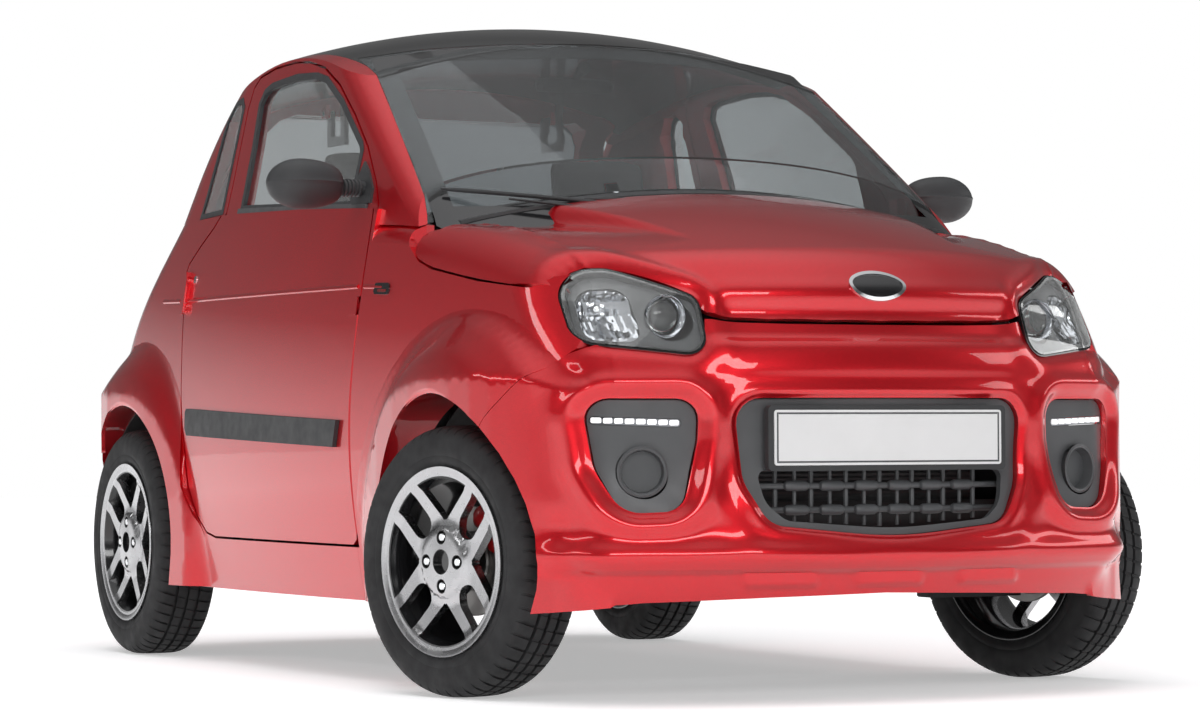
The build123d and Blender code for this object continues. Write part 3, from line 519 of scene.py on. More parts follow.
# ---------------------------------------------------------------- the body's skin, as in the part's source
# z, front y, front plan radius, front corner radius, half width, rear y, rear plan radius, rear corner radius
LOWER = np.array([
    (165, -1440, 1500, 150, 706, 1465, 1500, 200), (275, -1505, 1540, 120, 724, 1495, 1500, 210),
    (470, -1488, 1540, 150, 741, 1505, 1500, 220), (640, -1485, 1400, 190, 740, 1498, 1450, 240),
    (780, -1450, 1080, 230, 729, 1452, 1400, 270), (920, -1395, 1000, 250, 709, 1335, 1300, 300),
    (1100, -1300, 950, 260, 672, 1125, 1200, 300)], float)
UPPER = np.array([
    (940, -965, 1020, 110, 695, 1290, 1250, 270), (1010, -847, 1060, 110, 682, 1215, 1250, 270),
    (1200, -530, 1160, 110, 640, 1083, 1200, 270), (1400, -195, 1290, 110, 594, 868, 1150, 270),
    (1540, 40, 1350, 110, 562, 640, 1100, 270)], float)
SIDE_R, SIDE_Y = 12000.0, 200.0
HOOD_LONG, HOOD_CROWN, HOOD_TOP, HOOD_EDGE = 3230.0, 2300.0, (-268.0, 1098.0), 60.0
WHEEL_Z, AXLE_Y, KINGPIN = 278.5, 1028.0, (641.0, -923.0)
WHEEL_X, KINGPIN_IN, STEER_REST = 680.0, 40.0, radians(15.3)
ARCH_Y, ARCH_R, LIP_IN, LIP_SOFT = -928.0, 345.0, 560.0, 24.0

# lip of each wheel arch: distance from the wheel's line and half width; its limit in plan: y and half width
LIP_FRONT = np.array([(345, 764), (352, 768), (380, 765.5), (430, 747), (470, 713), (490, 694), (506, 668),
                      (526, 628), (560, 540)], float)
LIP_REAR = np.array([(340, 764), (347, 768), (375, 765.5), (425, 747), (455, 725), (473, 709), (492, 682),
                     (515, 640), (550, 550)], float)
PLAN_FRONT = [(-1450, 300), (-1400, 470), (-1370, 548), (-1340, 601.5), (-1300, 656.5), (-1260, 689.5),
              (-1220, 713.5), (-1170, 736.5), (-1110, 753.5), (-1030, 763.5), (-930, 767.5), (-820, 765.5),
              (-720, 759.5), (-600, 746.5), (-500, 729.5), (-410, 709.5)]
PLAN_REAR = [(500, 736.5), (600, 747.5), (720, 756.5), (850, 763.5), (1028, 767.5), (1140, 763.5),
             (1230, 749.5), (1300, 725.5), (1360, 691.5), (1420, 641.5), (1460, 590), (1500, 520),
             (1560, 380)]


def through(table, z):
    """Each column of a table as a natural cubic curve over its first column."""
    x = table[:, 0]
    n, h = len(x), np.diff(x)
    system = np.eye(n)
    right = np.zeros((n, table.shape[1] - 1))
    for i in range(1, n - 1):
        system[i, i - 1:i + 2] = h[i - 1], 2 * (h[i - 1] + h[i]), h[i]
        above, below = table[i + 1, 1:] - table[i, 1:], table[i, 1:] - table[i - 1, 1:]
        right[i] = 3 * (above / h[i] - below / h[i - 1])
    c = np.linalg.solve(system, right)
    i = np.clip(np.searchsorted(x, z) - 1, 0, n - 2)
    t, span, y = (z - x[i])[:, None], h[i][:, None], table[i, 1:]
    b = (table[i + 1, 1:] - y) / span - span * (2 * c[i] + c[i + 1]) / 3
    return (y + b * t + c[i] * t ** 2 + (c[i + 1] - c[i]) / (3 * span) * t ** 3).T


def corner(a, b, r):
    """Distance to the inside of two faces that meet in an edge of radius r."""
    return np.minimum(np.maximum(a, b), -r) + np.hypot(np.maximum(a + r, 0), np.maximum(b + r, 0))


def end_and_side(x, y, end_y, end_r, side_x, r, front):
    """Distance to a plan outline: an end arc and a side arc that meet in a corner arc of radius r."""
    x = np.abs(x)
    to_end = np.hypot(x, y - end_y) - end_r
    to_side = np.hypot(x - side_x, y - SIDE_Y) - SIDE_R
    gap = np.hypot(side_x, SIDE_Y - end_y)
    ux, uy = side_x / gap, (SIDE_Y - end_y) / gap
    turn = 1 if front else -1
    along = ((end_r - r) ** 2 - (SIDE_R - r) ** 2 + gap ** 2) / (2 * gap)
    off = np.sqrt(np.maximum((end_r - r) ** 2 - along ** 2, 0.0)) * turn
    ox, oy = along * ux - off * uy, end_y + along * uy + off * ux
    px, py = x - ox, y - oy
    past_end = turn * (ox * py - (oy - end_y) * px) > 0
    past_side = turn * (px * (oy - SIDE_Y) - py * (ox - side_x)) > 0
    return np.where(past_end & past_side, np.hypot(px, py) - r, np.maximum(to_end, to_side))


def skin(table, x, y, z):
    """Distance to the body of a table's sections, negative inside it."""
    y_front, plan_f, edge_f, width, y_rear, plan_r, edge_r = through(table, z)
    front = end_and_side(x, y, y_front + plan_f, plan_f, width - SIDE_R, edge_f, True)
    rear = end_and_side(x, y, y_rear - plan_r, plan_r, width - SIDE_R, edge_r, False)
    return np.where(y < 0, front, rear)


def lower_skin(x, y, z):
    return skin(LOWER, x, y, z)


def upper_skin(x, y, z):
    return skin(UPPER, x, y, z)


def hood_cap(x, y, z):
    """Distance to the hood's cap: a crown arc turned about a line across the car."""
    ring = np.hypot(y - HOOD_TOP[0], z - (HOOD_TOP[1] - HOOD_LONG))
    return np.hypot(x, ring - (HOOD_LONG - HOOD_CROWN)) - HOOD_CROWN


def hood_cap_z(x, y):
    """Height of the hood's cap over a point of the plan."""
    ring = sqrt(HOOD_CROWN ** 2 - x * x) + HOOD_LONG - HOOD_CROWN
    return HOOD_TOP[1] - HOOD_LONG + sqrt(ring ** 2 - (y - HOOD_TOP[0]) ** 2)


def arched(body, x, y, z, middle, lip, plan):
    """A body's field with the lip of a wheel arch standing out of it on a soft fillet."""
    away = np.clip(np.hypot(y - middle, z - WHEEL_Z), lip[0, 0], lip[-1, 0])
    wide = np.minimum(through(lip, away)[0], np.interp(y, *zip(*plan)))
    flare = np.maximum(np.abs(x) - wide, LIP_IN - np.abs(x))
    mix = np.clip(0.5 + 0.5 * (body - flare) / LIP_SOFT, 0, 1)
    return body * (1 - mix) + flare * mix - LIP_SOFT * mix * (1 - mix)


def front_skin(x, y, z):
    """Nose of the car: body sections under the hood's cap, with the front arch's lip."""
    body = corner(hood_cap(x, y, z), lower_skin(x, y, z), HOOD_EDGE)
    return arched(body, x, y, z, ARCH_Y, LIP_FRONT, PLAN_FRONT)


def rear_skin(x, y, z):
    return arched(lower_skin(x, y, z), x, y, z, AXLE_Y, LIP_REAR, PLAN_REAR)


def meet(field, start, ray, near, far):
    """Point where each ray leaves the field's solid, between near and far along it."""
    near, far = np.full(len(ray), float(near)), np.full(len(ray), float(far))
    for _ in range(40):
        half = (near + far) / 2
        within = field(*(start + ray * half[:, None]).T) < 0
        near, far = np.where(within, half, near), np.where(within, far, half)
    return start + ray * half[:, None]


def outward(field, p):
    """Unit normal of a field at each point."""
    g = np.stack([field(*(p + d).T) - field(*(p - d).T) for d in np.eye(3)], 1)
    return g / np.linalg.norm(g, axis=1, keepdims=True)


def raised(field, p, out, lift=None):
    """Points of a skin moved out along its normal, and by a relief where one is given."""
    by = out + (lift(p) if lift else 0.0)
    return p + outward(field, p) * np.reshape(by, (-1, 1))


def front_view(field, out=0.0, lift=None, start_y=-700.0):
    """Turns x, z of the front view into points on the nose, moved out along its normal."""
    def place(x, z):
        start = np.stack([x, np.full(len(x), start_y), z], 1)
        p = meet(field, start, np.tile([0.0, -1.0, 0.0], (len(x), 1)), 0, 1100)
        return raised(field, p, out, lift)
    return place


def nose(out=0.0, lift=None):
    return front_view(front_skin, out, lift)


def side_view(field, sign, out=0.0):
    """Turns y, z of the side view into points on the body's side."""
    def place(y, z):
        start = np.stack([np.zeros(len(y)), y, z], 1)
        p = meet(field, start, np.tile([float(sign), 0.0, 0.0], (len(y), 1)), 300, 900)
        return raised(field, p, out)
    return place


def flat_view(depth):
    """Turns x, z of the front view into points at a fixed y."""
    return lambda x, z: np.stack([x, np.full(len(x), depth), z], 1)


def on(view, loop):
    """Points of a view at each point of an outline."""
    return view(*np.array(loop, float).T)


def nose_frame(x, z, turn):
    """Place on the nose, with the x axis turned about the upright line."""
    y = float(on(nose(), [(x, z)])[0, 1])
    return Matrix.Translation((x, y, z)) @ Matrix.Rotation(turn, 4, "Z")


# ---------------------------------------------------------------- outlines shared with the part's source
HEADLAMP = [(374, 692, 38), (608, 720, 38), (608, 868, 68), (515, 868, 60), (374, 808, 30)]
GRILLE = [(-331, 607, 50), (331, 607, 50), (316, 440, 90), (270, 357, 60), (0, 329, 900), (-270, 357, 60),
          (-316, 440, 90)]
FOG = [(400, 606, 42), (616, 608, 42), (600, 470, 90), (556, 382, 60), (440, 386, 50), (404, 520, 90)]
LAMP_LOOP, GRILLE_LOOP, FOG_LOOP = rounded(HEADLAMP), rounded(GRILLE), rounded(FOG)


# ---------------------------------------------------------------- wheels, made with the outer face on -x
TREAD = [(0, 270.5), (3.4, 270.5), (4.2, 278.4), (23.6, 278.2), (24.4, 270.2), (31.2, 270.0), (32.0, 277.8),
         (43, 277.2), (53, 275.2), (61, 271.8), (67, 266.8), (71.5, 260)]
SHOULDER = [(75, 250), (77.2, 238), (77.6, 229), (77.0, 221), (75.6, 217), (76.2, 214), (75.0, 207),
            (72.6, 201.5), (70.2, 198), (69.6, 196.4), (69.6, 181.5)]
BLOCKS, BLOCK_CUTS, BLOCK_LEAN = 58, (0.0, 0.17, 0.20, 0.58, 0.97), 0.055
SPOKE_EDGE_R, FAN_R, FAN_HUB, FAN_HALF = 181.0, 175.0, 83.0, radians(27)
BOLT_CIRCLE, WHEEL_BORE = 50.0, 26.0
DISH_R = (0, 60, 71, 74, 90, 160, 170, 181)
DISH_X = (-74.5, -72, -69, -63, -61, -67, -71.5, -72.5)
CALIPER_R = 112 * 0.92


def wheel_frame(side, front):
    """Place of a wheel made with its outer face on -x; the front ones stand turned."""
    flip = Matrix.Identity(4) if side == "right" else Matrix.Rotation(pi, 4, "Z")
    sign = -1 if side == "right" else 1
    if not front:
        return Matrix.Translation((sign * WHEEL_X, AXLE_Y, WHEEL_Z)) @ flip
    pin = Matrix.Translation((sign * KINGPIN[0], KINGPIN[1], WHEEL_Z)) @ Matrix.Rotation(STEER_REST, 4, "Z")
    return pin @ flip @ Matrix.Translation((-KINGPIN_IN, 0, 0))


def tyre():
    """Road tyre: three grooves round it, and cross grooves in every block row."""
    half = TREAD + SHOULDER
    profile = [(-x, r) for x, r in reversed(half)] + half[1:]
    verts = []
    for k in range(BLOCKS * len(BLOCK_CUTS)):
        block, part = divmod(k, len(BLOCK_CUTS))
        in_groove = part < 2
        for x, r in profile:
            width = abs(x)
            lean = BLOCK_LEAN * min(width, 60.0) / 60.0
            a = 2 * pi * (block + BLOCK_CUTS[part]) / BLOCKS + (lean if x > 0 else -lean)
            if in_groove and r > 272:
                r -= 4.5 if 32 <= width < 60 else 2.0 if 4 < width < 24 else 0.0
            elif in_groove and 60 <= width < 71:
                r -= 2.5
            verts.append((x, -r * sin(a), r * cos(a)))
    return verts, grid(BLOCKS * len(BLOCK_CUTS), len(profile), wrap=True)


def round_hole(r, n, y=0.0, z=0.0):
    return [(y + r * sin(a), z + r * cos(a)) for a in np.linspace(0, 2 * pi, n, endpoint=False)]


def rim_face():
    """Polished face: four arches of two spokes between the hub and the rim's edge."""
    fan = [(0.0, FAN_HUB + 4), (3.5, FAN_HUB + 2)]
    fan += [(FAN_R * sin(a), FAN_R * cos(a)) for a in np.linspace(FAN_HALF, -FAN_HALF, 16)]
    fan += [(-3.5, FAN_HUB + 2)]
    slot = [(29 * sin(a), 105 - 29 * cos(a)) for a in np.linspace(-pi / 2, pi / 2, 12)]
    slot += [(29, 171.5), (15, 174), (0, 174.7), (-15, 174), (-29, 171.5)]
    quarters = [k * pi / 2 for k in range(4)]
    loops = [round_hole(SPOKE_EDGE_R, 120)]
    for turn in quarters:
        for loop, t in ((fan, turn), (slot, turn + pi / 4)):
            loops.append([(a * cos(t) + b * sin(t), -a * sin(t) + b * cos(t)) for a, b in loop])
    loops += [round_hole(WHEEL_BORE, 28)]
    loops += [round_hole(15, 20, BOLT_CIRCLE * sin(t), BOLT_CIRCLE * cos(t)) for t in quarters]

    def dished(back):
        return lambda y, z: np.stack([np.interp(np.hypot(y, z), DISH_R, DISH_X) + back, y, z], 1)

    return sheet(loops, 6.0, dished(0), dished(20))


def four(solid):
    """A solid at each of the four wheel bolts."""
    out = Matrix.Translation((0, 0, BOLT_CIRCLE))
    return join(*[moved(solid, Matrix.Rotation(k * pi / 2, 4, "X") @ out) for k in range(4)])


def wheels():
    """Tyre, rim, bolts and brake disc of each wheel, and the front calipers."""
    rubber, face = tyre(), rim_face()
    lip = lathe([(-70.6, 181), (-72.6, 181), (-75.5, 189), (-76, 194.5), (-74, 195), (-71.2, 194.6),
                 (-70.8, 186)], 96, True)
    barrel = lathe([(-71, 180.2), (-71, 172), (-60, 169), (-48, 163), (60, 170), (70, 176), (76, 190),
                    (76, 195), (71, 195), (71, 180.4), (0, 180.4)], 96, True)
    back = lathe([(-52, 0), (-52, 24), (-50, 76), (-42, 80), (-34, 76), (-34, 26), (-34, 0)], 48)
    bolts = four(lathe([(-72.5, 0), (-72.5, 7), (-70.5, 8.5), (-58, 8.5), (-58, 0)], 12))
    wells = four(lathe([(-71.5, 15.2), (-71.5, 13.6), (-60, 13.2), (-60, 0), (-57, 0), (-57, 15.2)], 28))
    bore = lathe([(-73.5, 26.2), (-73, 24.6), (-62, 24), (-62, 0), (-57, 0), (-57, 26.2)], 32)
    disc = lathe([(10, 24), (10, 112), (13, 113), (17, 113), (20, 112), (20, 24)], 72, True)
    hat = lathe([(0, 22), (-1, 58), (2, 61), (20, 61), (20, 22)], 48, True)
    for end in ("front", "rear"):
        for side, _ in SIDES:
            tag = f"{end}_{side}"
            at, body = wheel_frame(side, end == "front"), f"wheel_{tag}"
            piece(f"road_tyre_{tag}", moved(rubber, at), RUBBER, body, f"tyre_{tag}", crease=30)
            piece(f"rim_face_{tag}", moved(join(face, lip), at), ALLOY, body, f"rim_{tag}", crease=28)
            piece(f"rim_barrel_{tag}", moved(join(barrel, back, wells, bore), at), GLOSS, body)
            piece(f"wheel_bolts_{tag}", moved(bolts, at), CHROME, body, crease=20)
            piece(f"brake_disc_{tag}", moved(join(disc, hat), at), IRON, body)
    arc = [radians(a) for a in range(102, 168, 6)]
    caliper = tube([(-3, -CALIPER_R * sin(a), -CALIPER_R * cos(a)) for a in arc],
                   [10] + [17] * (len(arc) - 2) + [10], 12, 1.5)
    for side, _ in SIDES:
        piece(f"brake_caliper_{side}", moved(caliper, wheel_frame(side, True)), CALIPER, f"knuckle_{side}")


# ---------------------------------------------------------------- headlamps
CUP, EYE, EYE_R = (541.0, 783.0), (430.0, 770.0), 43.0
CUP_OUTLINE = [(486, 726, 26), (592, 732, 24), (594, 838, 44), (500, 838, 30)]
FACET_W, FACET_H = 13.0, 30.0


def reflector(x, z):
    """Bowl of the lamp, pressed into a field of small facets."""
    base = nose(-24)(x, z)
    r = np.hypot((x - CUP[0]) / 56, (z - CUP[1]) / 54)
    base[:, 1] += 44 * (1 - np.clip(r, 0, 1) ** 2)
    base[:, 1] += 7.0 * np.abs(np.mod((x - CUP[0]) / FACET_W, 1.0) - 0.5)
    base[:, 1] += 8.0 * np.abs(np.mod((z - CUP[1]) / FACET_H, 1.0) - 0.5)
    return base


def dome(front, depth, r, steps, back):
    """Rounded glass or bulb that faces -x, closed at its back."""
    cap = [(front - depth * (1 - cos(a)), r * sin(a)) for a in np.linspace(0, pi / 2, steps)]
    return cap + [(back, r), (back, 0)]


def headlamps():
    """Lamps with a facetted bowl and its bulb, and a projector in a ring, made for the left side."""
    cup_loop = rounded(CUP_OUTLINE)
    lens = sheet([grow(LAMP_LOOP, -1.0)], 9.0, nose(-0.8), nose(-3.8))
    bezel = sheet([grow(LAMP_LOOP, -5.0), cup_loop, oval(*EYE, EYE_R, EYE_R, 36)], 9.0, nose(-20), nose(-24))
    back = sheet([grow(LAMP_LOOP, -2)], 14.0, nose(-80), nose(-84))
    wall = sheet([grow(LAMP_LOOP, -1.2), grow(LAMP_LOOP, -5.5)], 9.0, nose(-4.2), nose(-38))
    gap = sheet([grow(LAMP_LOOP, 3.0), grow(LAMP_LOOP, -0.2)], 9.0, nose(-3), nose(-34))
    bowl = sheet([grow(cup_loop, 1.5)], 3.4, reflector, lambda x, z: reflector(x, z) + np.array([0, 3.0, 0]))
    at_eye, at_cup = nose_frame(*EYE, -pi / 2), nose_frame(*CUP, -pi / 2)
    ring = lathe([(-20, 43), (-24, 41), (-26, 38), (-60, 30), (-62, 30), (-28, 44.5)], 48, True)
    projector = lathe(dome(-20, 16, 31, 12, -44), 40)
    bulb = lathe(dome(-34, 10, 10, 8, -62), 24)
    for side, sign in SIDES:
        def made(name, solid, look, *nodes, **more):
            piece(f"lamp_{name}_{side}", on_side(solid, sign), look, "chassis", *nodes, **more)
        made("lens", lens, CLEAR, f"headlamp_{side}")
        made("bezel", join(bezel, back), GREY)
        made("rim", join(wall, gap), GLOSS)
        made("reflector", bowl, REFLECTOR, crease=8)
        made("ring", moved(ring, at_eye), REFLECTOR)
        made("projector", moved(projector, at_eye), CLEAR)
        made("bulb", moved(bulb, at_cup), CHROME, slot="lamp_clear")


# ---------------------------------------------------------------- fog inserts, grille and plate
LED_STRIP = [(433, 549, 8), (607, 556, 8), (606, 573, 8), (432, 566, 8)]
FOG_HOLE, FOG_HOLE_R = (510.0, 462.0), 50.0
MESH = [(-286, 466, 16), (286, 466, 16), (272, 400, 60), (232, 366, 40), (0, 347, 900), (-232, 366, 40),
        (-272, 400, 60)]
MESH_PITCH, MESH_TOP, MESH_LOW = 76, 468, 350
PLATE_OUTLINE = [(-260, 473, 6), (260, 473, 6), (260, 583, 6), (-260, 583, 6)]


def fog_inserts():
    """Grey inserts with a fog lamp's well and a strip of light cells, made for the left side."""
    led = rounded(LED_STRIP)
    hole = oval(*FOG_HOLE, FOG_HOLE_R, FOG_HOLE_R, 40)
    panel = sheet([grow(FOG_LOOP, -1.0), led, hole], 10.0, nose(-19), nose(-27))
    strip = sheet([grow(led, -1.0)], 6.0, nose(-22), nose(-30))
    well = lathe([(-12, 51), (-10, 47), (-12, 43), (-34, 40), (-36, 0), (-40, 0), (-40, 51)], 48)
    well = moved(well, nose_frame(*FOG_HOLE, radians(-70)))
    cells = []
    for x, z in [(446 + 21.2 * k, 558.2 + 0.9 * k) for k in range(8)]:
        cell = rounded([(x - 9, z - 5, 3), (x + 9, z - 5, 3), (x + 9, z + 6, 3), (x - 9, z + 6, 3)])
        cells.append(sheet([cell], 6.0, nose(-19.5), nose(-22.5)))
    cells = join(*cells)
    for side, sign in SIDES:
        stands_for = ("fog_inserts",) if side == "left" else ()
        piece(f"fog_plate_{side}", on_side(join(panel, well), sign), GREY, "chassis", *stands_for)
        piece(f"fog_strip_{side}", on_side(strip, sign), REFLECTOR, "chassis")
        piece(f"fog_cells_{side}", on_side(cells, sign), LED, "chassis")


def mesh_y(x):
    return -1448.0 + (x / 560.0) ** 2 * 110


def grille():
    """Frame, two cross bars with six links each, and thin uprights behind them."""
    parts = [sheet([grow(GRILLE_LOOP, -1.0), rounded(MESH)], 11.0, nose(-17), nose(-30))]
    links = [-190 + MESH_PITCH * k for k in range(6)]
    for z in (432.0, 384.0):
        parts.append(tube([(x, mesh_y(x), z) for x in np.linspace(-284, 284, 13)], 6.5))
        for x in links:
            line = [(x + d, mesh_y(x + d) - 5, z) for d in (-27, -24, -18, 0, 18, 24, 27)]
            parts.append(tube(line, [3, 8, 10.5, 11, 10.5, 8, 3], 14))
    for places, r, back in (([-228 + MESH_PITCH * k for k in range(7)], 5.0, 8), (links, 4.0, 3)):
        for x in places:
            y = mesh_y(x) + back
            parts.append(tube([(x, y, MESH_LOW + abs(x) * 0.06), (x, y, MESH_TOP)], r, 8))
    piece("grille_frame", join(*parts), GREY, "chassis", "grille_insert")
    fins = [tube([(-265, -1352, z), (265, -1352, z)], 1.6, 4, 3.0) for z in range(356, 470, 9)]
    piece("radiator_fins", join(*fins), COOLER, "chassis")
    tray = rounded([(-272, 462, 10), (272, 462, 10), (272, 592, 10), (-272, 592, 10)])
    piece("plate_holder", sheet([tray], 30.0, flat_view(-1479.5), flat_view(-1462)), TRIM, "chassis")


def plate():
    edge = rounded(PLATE_OUTLINE)
    blank = sheet([edge], 26.0, flat_view(-1483), flat_view(-1480))
    line = sheet([grow(edge, -5.0), grow(edge, -8.5)], 26.0, flat_view(-1483.35), flat_view(-1482.6))
    piece("plate_blank", blank, PLATE, "chassis", "number_plate_front")
    piece("plate_line", line, GREY, "chassis")


# ---------------------------------------------------------------- hood and front bumper
HOOD_SIDE = [(-1230, 829), (-1160, 835), (-1090, 841.5), (-1020, 849), (-949, 858), (-880, 868), (-810, 879),
             (-748, 889.5), (-706, 900), (-672, 911), (-652, 923), (-645, 938), (-645, 960)]
HOOD_FRONT = [(0, 764), (120, 765), (240, 767), (338, 771), (362, 778), (372, 790)]
HOOD_REAR = [(650, -658), (641, -684), (600, -716), (520, -735), (400, -760), (200, -782), (0, -797)]
HOOD_HINGE, HOOD_ARM_X, HOOD_THICK = (-612.0, 966.0), 614, 14.0
EMBLEM_Z = 831
VIEW_Y, VIEW_Z, VIEW_PLANE = -950.0, 100.0, 900.0


def hood_lift(p):
    """Height of the pressed forms above the plain hood: side folds, front lip and the brow over each lamp."""
    x, y, z = np.abs(p[:, 0]), p[:, 1], p[:, 2]
    t = np.clip((y + 1225) / 472, 0, 1)
    line, deep, wall = 300 + 100 * t, 38 * t ** 1.1, 12 + 30 * t
    past = x - line
    fold = -deep * smooth(past / wall) * (1 - smooth((past - wall) / (205 - 10 * t)))
    lip = (8 * bell((z - 822) / 22) - 9 * bell((z - 776) / 20)) * (1 - smooth((x - 310) / 60)) * (z < 900)
    d = reach(LAMP_LOOP, x, z)
    brow = np.where((y < -1050) & (z < 960), 8 * bell((d - 30) / 14) - 7 * (1 - smooth(d / 14)), 0.0)
    return fold + lip + brow


def hood_view(out=0.0, lift=None):
    """Plan-like view for the hood: u, v on a plane seen from a point low in the nose."""
    def place(u, v):
        ray = np.stack([u, v, np.full(len(u), VIEW_PLANE)], 1) / VIEW_PLANE
        p = meet(front_skin, np.array([0.0, VIEW_Y, VIEW_Z]), ray, 400, 1250)
        return raised(front_skin, p, out, lift)
    return place


def hood_flat(points):
    return [(VIEW_PLANE * x / (z - VIEW_Z), VIEW_PLANE * (y - VIEW_Y) / (z - VIEW_Z)) for x, y, z in points]


def hood():
    """Pressed hood panel with its thickness; outline from the lamp brow, side gap and rear edge."""
    brow = sorted(p for p in grow(LAMP_LOOP, 5.0) if p[1] > 800 and 376 < p[0] < 606)
    rear = [(x, y, hood_cap_z(x, y)) for x, y in HOOD_REAR]
    side = on(side_view(front_skin, 1), HOOD_SIDE)
    half = hood_flat([*on(nose(), HOOD_FRONT), *on(nose(), brow), *side, *rear])
    rings = []
    for by in (9, 14, 20, 27, 34, 42):
        line = hood_flat(on(nose(), grow(LAMP_LOOP, by)))
        rings += [line, twin(line)]
    under = hood_view(-HOOD_THICK, lambda p: np.minimum(hood_lift(p), 0))
    panel = sheet([whole(half)], 10.0, hood_view(0.0, hood_lift), under, rings)
    piece("hood_panel", panel, RED, "hood", "hood", crease=42)
    y, z = HOOD_HINGE
    arms = [tube([(x, y, z), (x, y, z - 56), (x, y - 118, z - 60), (x, y - 122, z + 2)], 7.0, 8, 1.3)
            for x in (-HOOD_ARM_X, HOOD_ARM_X)]
    piece("hood_arms", join(*arms), STEEL, "hood")


def emblem():
    """Blank oval badge: a bright ring round a dark field."""
    def lifted(by):
        return lambda x, z: nose(0.0, hood_lift)(x, z) + np.array([0.0, -by, by * 0.45])

    rims = [oval(0, EMBLEM_Z, 64, 31, 64), oval(0, EMBLEM_Z, 57, 24.5, 64)]
    ring = sheet(rims, 5.0, lifted(5.0), lifted(-2.0))
    field = sheet([oval(0, EMBLEM_Z, 57.2, 24.7, 64)], 8.0, lifted(2.6), lifted(-2.0))
    piece("emblem_ring", ring, CHROME, "hood", crease=50)
    piece("emblem_field", field, GLOSS, "hood")


# seam against the fender, and the bumper's other edges, in side view and front view
SEAM_SIDE = [(-1600, 100), (-1100, 100), (-1000, 400), (-1036, 476), (-1150, 568), (-1239, 645), (-1301, 707),
             (-1345, 759), (-1430, 900), (-1600, 900)]
SEAM_END = [(-1150, 568), (-1239, 645), (-1290, 696)]
CHIN_EDGE = [(0, 212), (250, 206), (500, 198), (600, 190)]
TOP_EDGE = [(366, 768), (336, 764), (200, 760), (100, 759), (0, 758.5)]
ROUND_R, ROUND_Y = 650.0, -800.0


def bumper_flat(points):
    """Places on the unrolled bumper: arc about the upright line at ROUND_Y, and height."""
    return [(ROUND_R * atan2(x, ROUND_Y - y), z) for x, y, z in points]


def bumper_view(out, lift=None):
    """Turns places on the unrolled bumper into points on the nose."""
    def place(u, v):
        ray = np.stack([np.sin(u / ROUND_R), -np.cos(u / ROUND_R), np.zeros(len(u))], 1)
        start = np.stack([np.zeros(len(u)), np.full(len(u), ROUND_Y), v], 1)
        p = meet(front_skin, start, ray, 250, 1000)
        return raised(front_skin, p, out, lift)
    return place


def bumper_lift(fog_loop, mouth_loop, lamp_loop):
    """Frames round the fog inserts and grille, channel under the hood, lamp surround, chin blade, slots."""
    def lift(p):
        x, y, z = np.abs(p[:, 0]), p[:, 1], p[:, 2]
        u = ROUND_R * np.arctan2(x, ROUND_Y - y)
        fog, mouth, lamp_edge = (reach(loop, u, z) for loop in (fog_loop, mouth_loop, lamp_loop))
        h = 11 * bell((fog - 30) / 17) - 8 * (1 - smooth(fog / 22)) - 2 * bell((fog - 70) / 26)
        h += 4 * bell((mouth - 15) / 12) - 6 * (1 - smooth(mouth / 12)) + 4 * bell((mouth - 52) / 26)
        h += 4 * bell((lamp_edge - 38) / 24) - 6 * (1 - smooth(lamp_edge / 22))
        centre = 1 - smooth((x - 310) / 90)
        h += (-15 * smooth((z - 710) / 30) + 3 * bell((z - 698) / 24) - 3 * bell((z - 648) / 16)) * centre
        blade = 1 - smooth((x - 640) / 60)
        h += blade * (16 * bell((z - 298) / 22) - 5 * bell((z - 348) / 34) - 9 * smooth((266 - z) / 10))
        for middle in (0.0, 240.0):
            h += 6 * smooth((78 - np.abs(x - middle)) / 7) * smooth((12 - np.abs(z - 240)) / 5)
        return h * smooth(-reach(SEAM_SIDE, y, z) / 30)
    return lift


def bumper():
    """Bumper skin with holes for the grille and both fog inserts."""
    heights = (182, 230, 280, 340, 400, 450, 500, 530, 553)
    arch = [(ARCH_Y - sqrt(ARCH_R ** 2 - (z - WHEEL_Z) ** 2), z) for z in heights]
    under_lamp = [p for p in grow(LAMP_LOOP, 2.0) if p[1] < 765 and p[0] < 578]
    under_lamp.sort(key=lambda p: -(atan2(p[1] - 780, p[0] - 490) % (2 * pi)))
    half = bumper_flat([*on(nose(), CHIN_EDGE), *on(side_view(front_skin, 1), arch + SEAM_END),
                        *on(nose(), under_lamp), *on(nose(), TOP_EDGE)])
    fog, mouth = grow(FOG_LOOP, 0.5), grow(GRILLE_LOOP, 0.5)
    holes = [bumper_flat(on(nose(), outline)) for outline in (fog, twin(fog), mouth)]
    lift = bumper_lift(holes[0], holes[2], bumper_flat(on(nose(), LAMP_LOOP)))
    rings = []
    for outline, steps in ((FOG_LOOP, (4, 8, 13, 18, 23, 28, 33, 39, 46)),
                           (GRILLE_LOOP, (3, 6.5, 10, 14, 19, 25)),
                           (LAMP_LOOP, (5, 10, 16, 22, 29, 36, 44))):
        for by in steps:
            line = bumper_flat(on(nose(), grow(outline, by)))
            rings += [line] if outline is GRILLE_LOOP else [line, twin(line)]
    shell = sheet([whole(half), *holes], 8.0, bumper_view(0, lift), bumper_view(-24), rings)
    piece("bumper_skin", shell, RED, "chassis", "front_bumper", crease=42)


# ---------------------------------------------------------------- wheel arches
def arc(middle, r, y0, y1, steps):
    """Points of an arch over the axle between two places along the car, above the wheel's centre line."""
    angles = np.linspace(acos((y0 - middle) / r), acos((y1 - middle) / r), steps + 1)
    return [(middle + r * cos(a), WHEEL_Z + r * sin(a)) for a in angles]


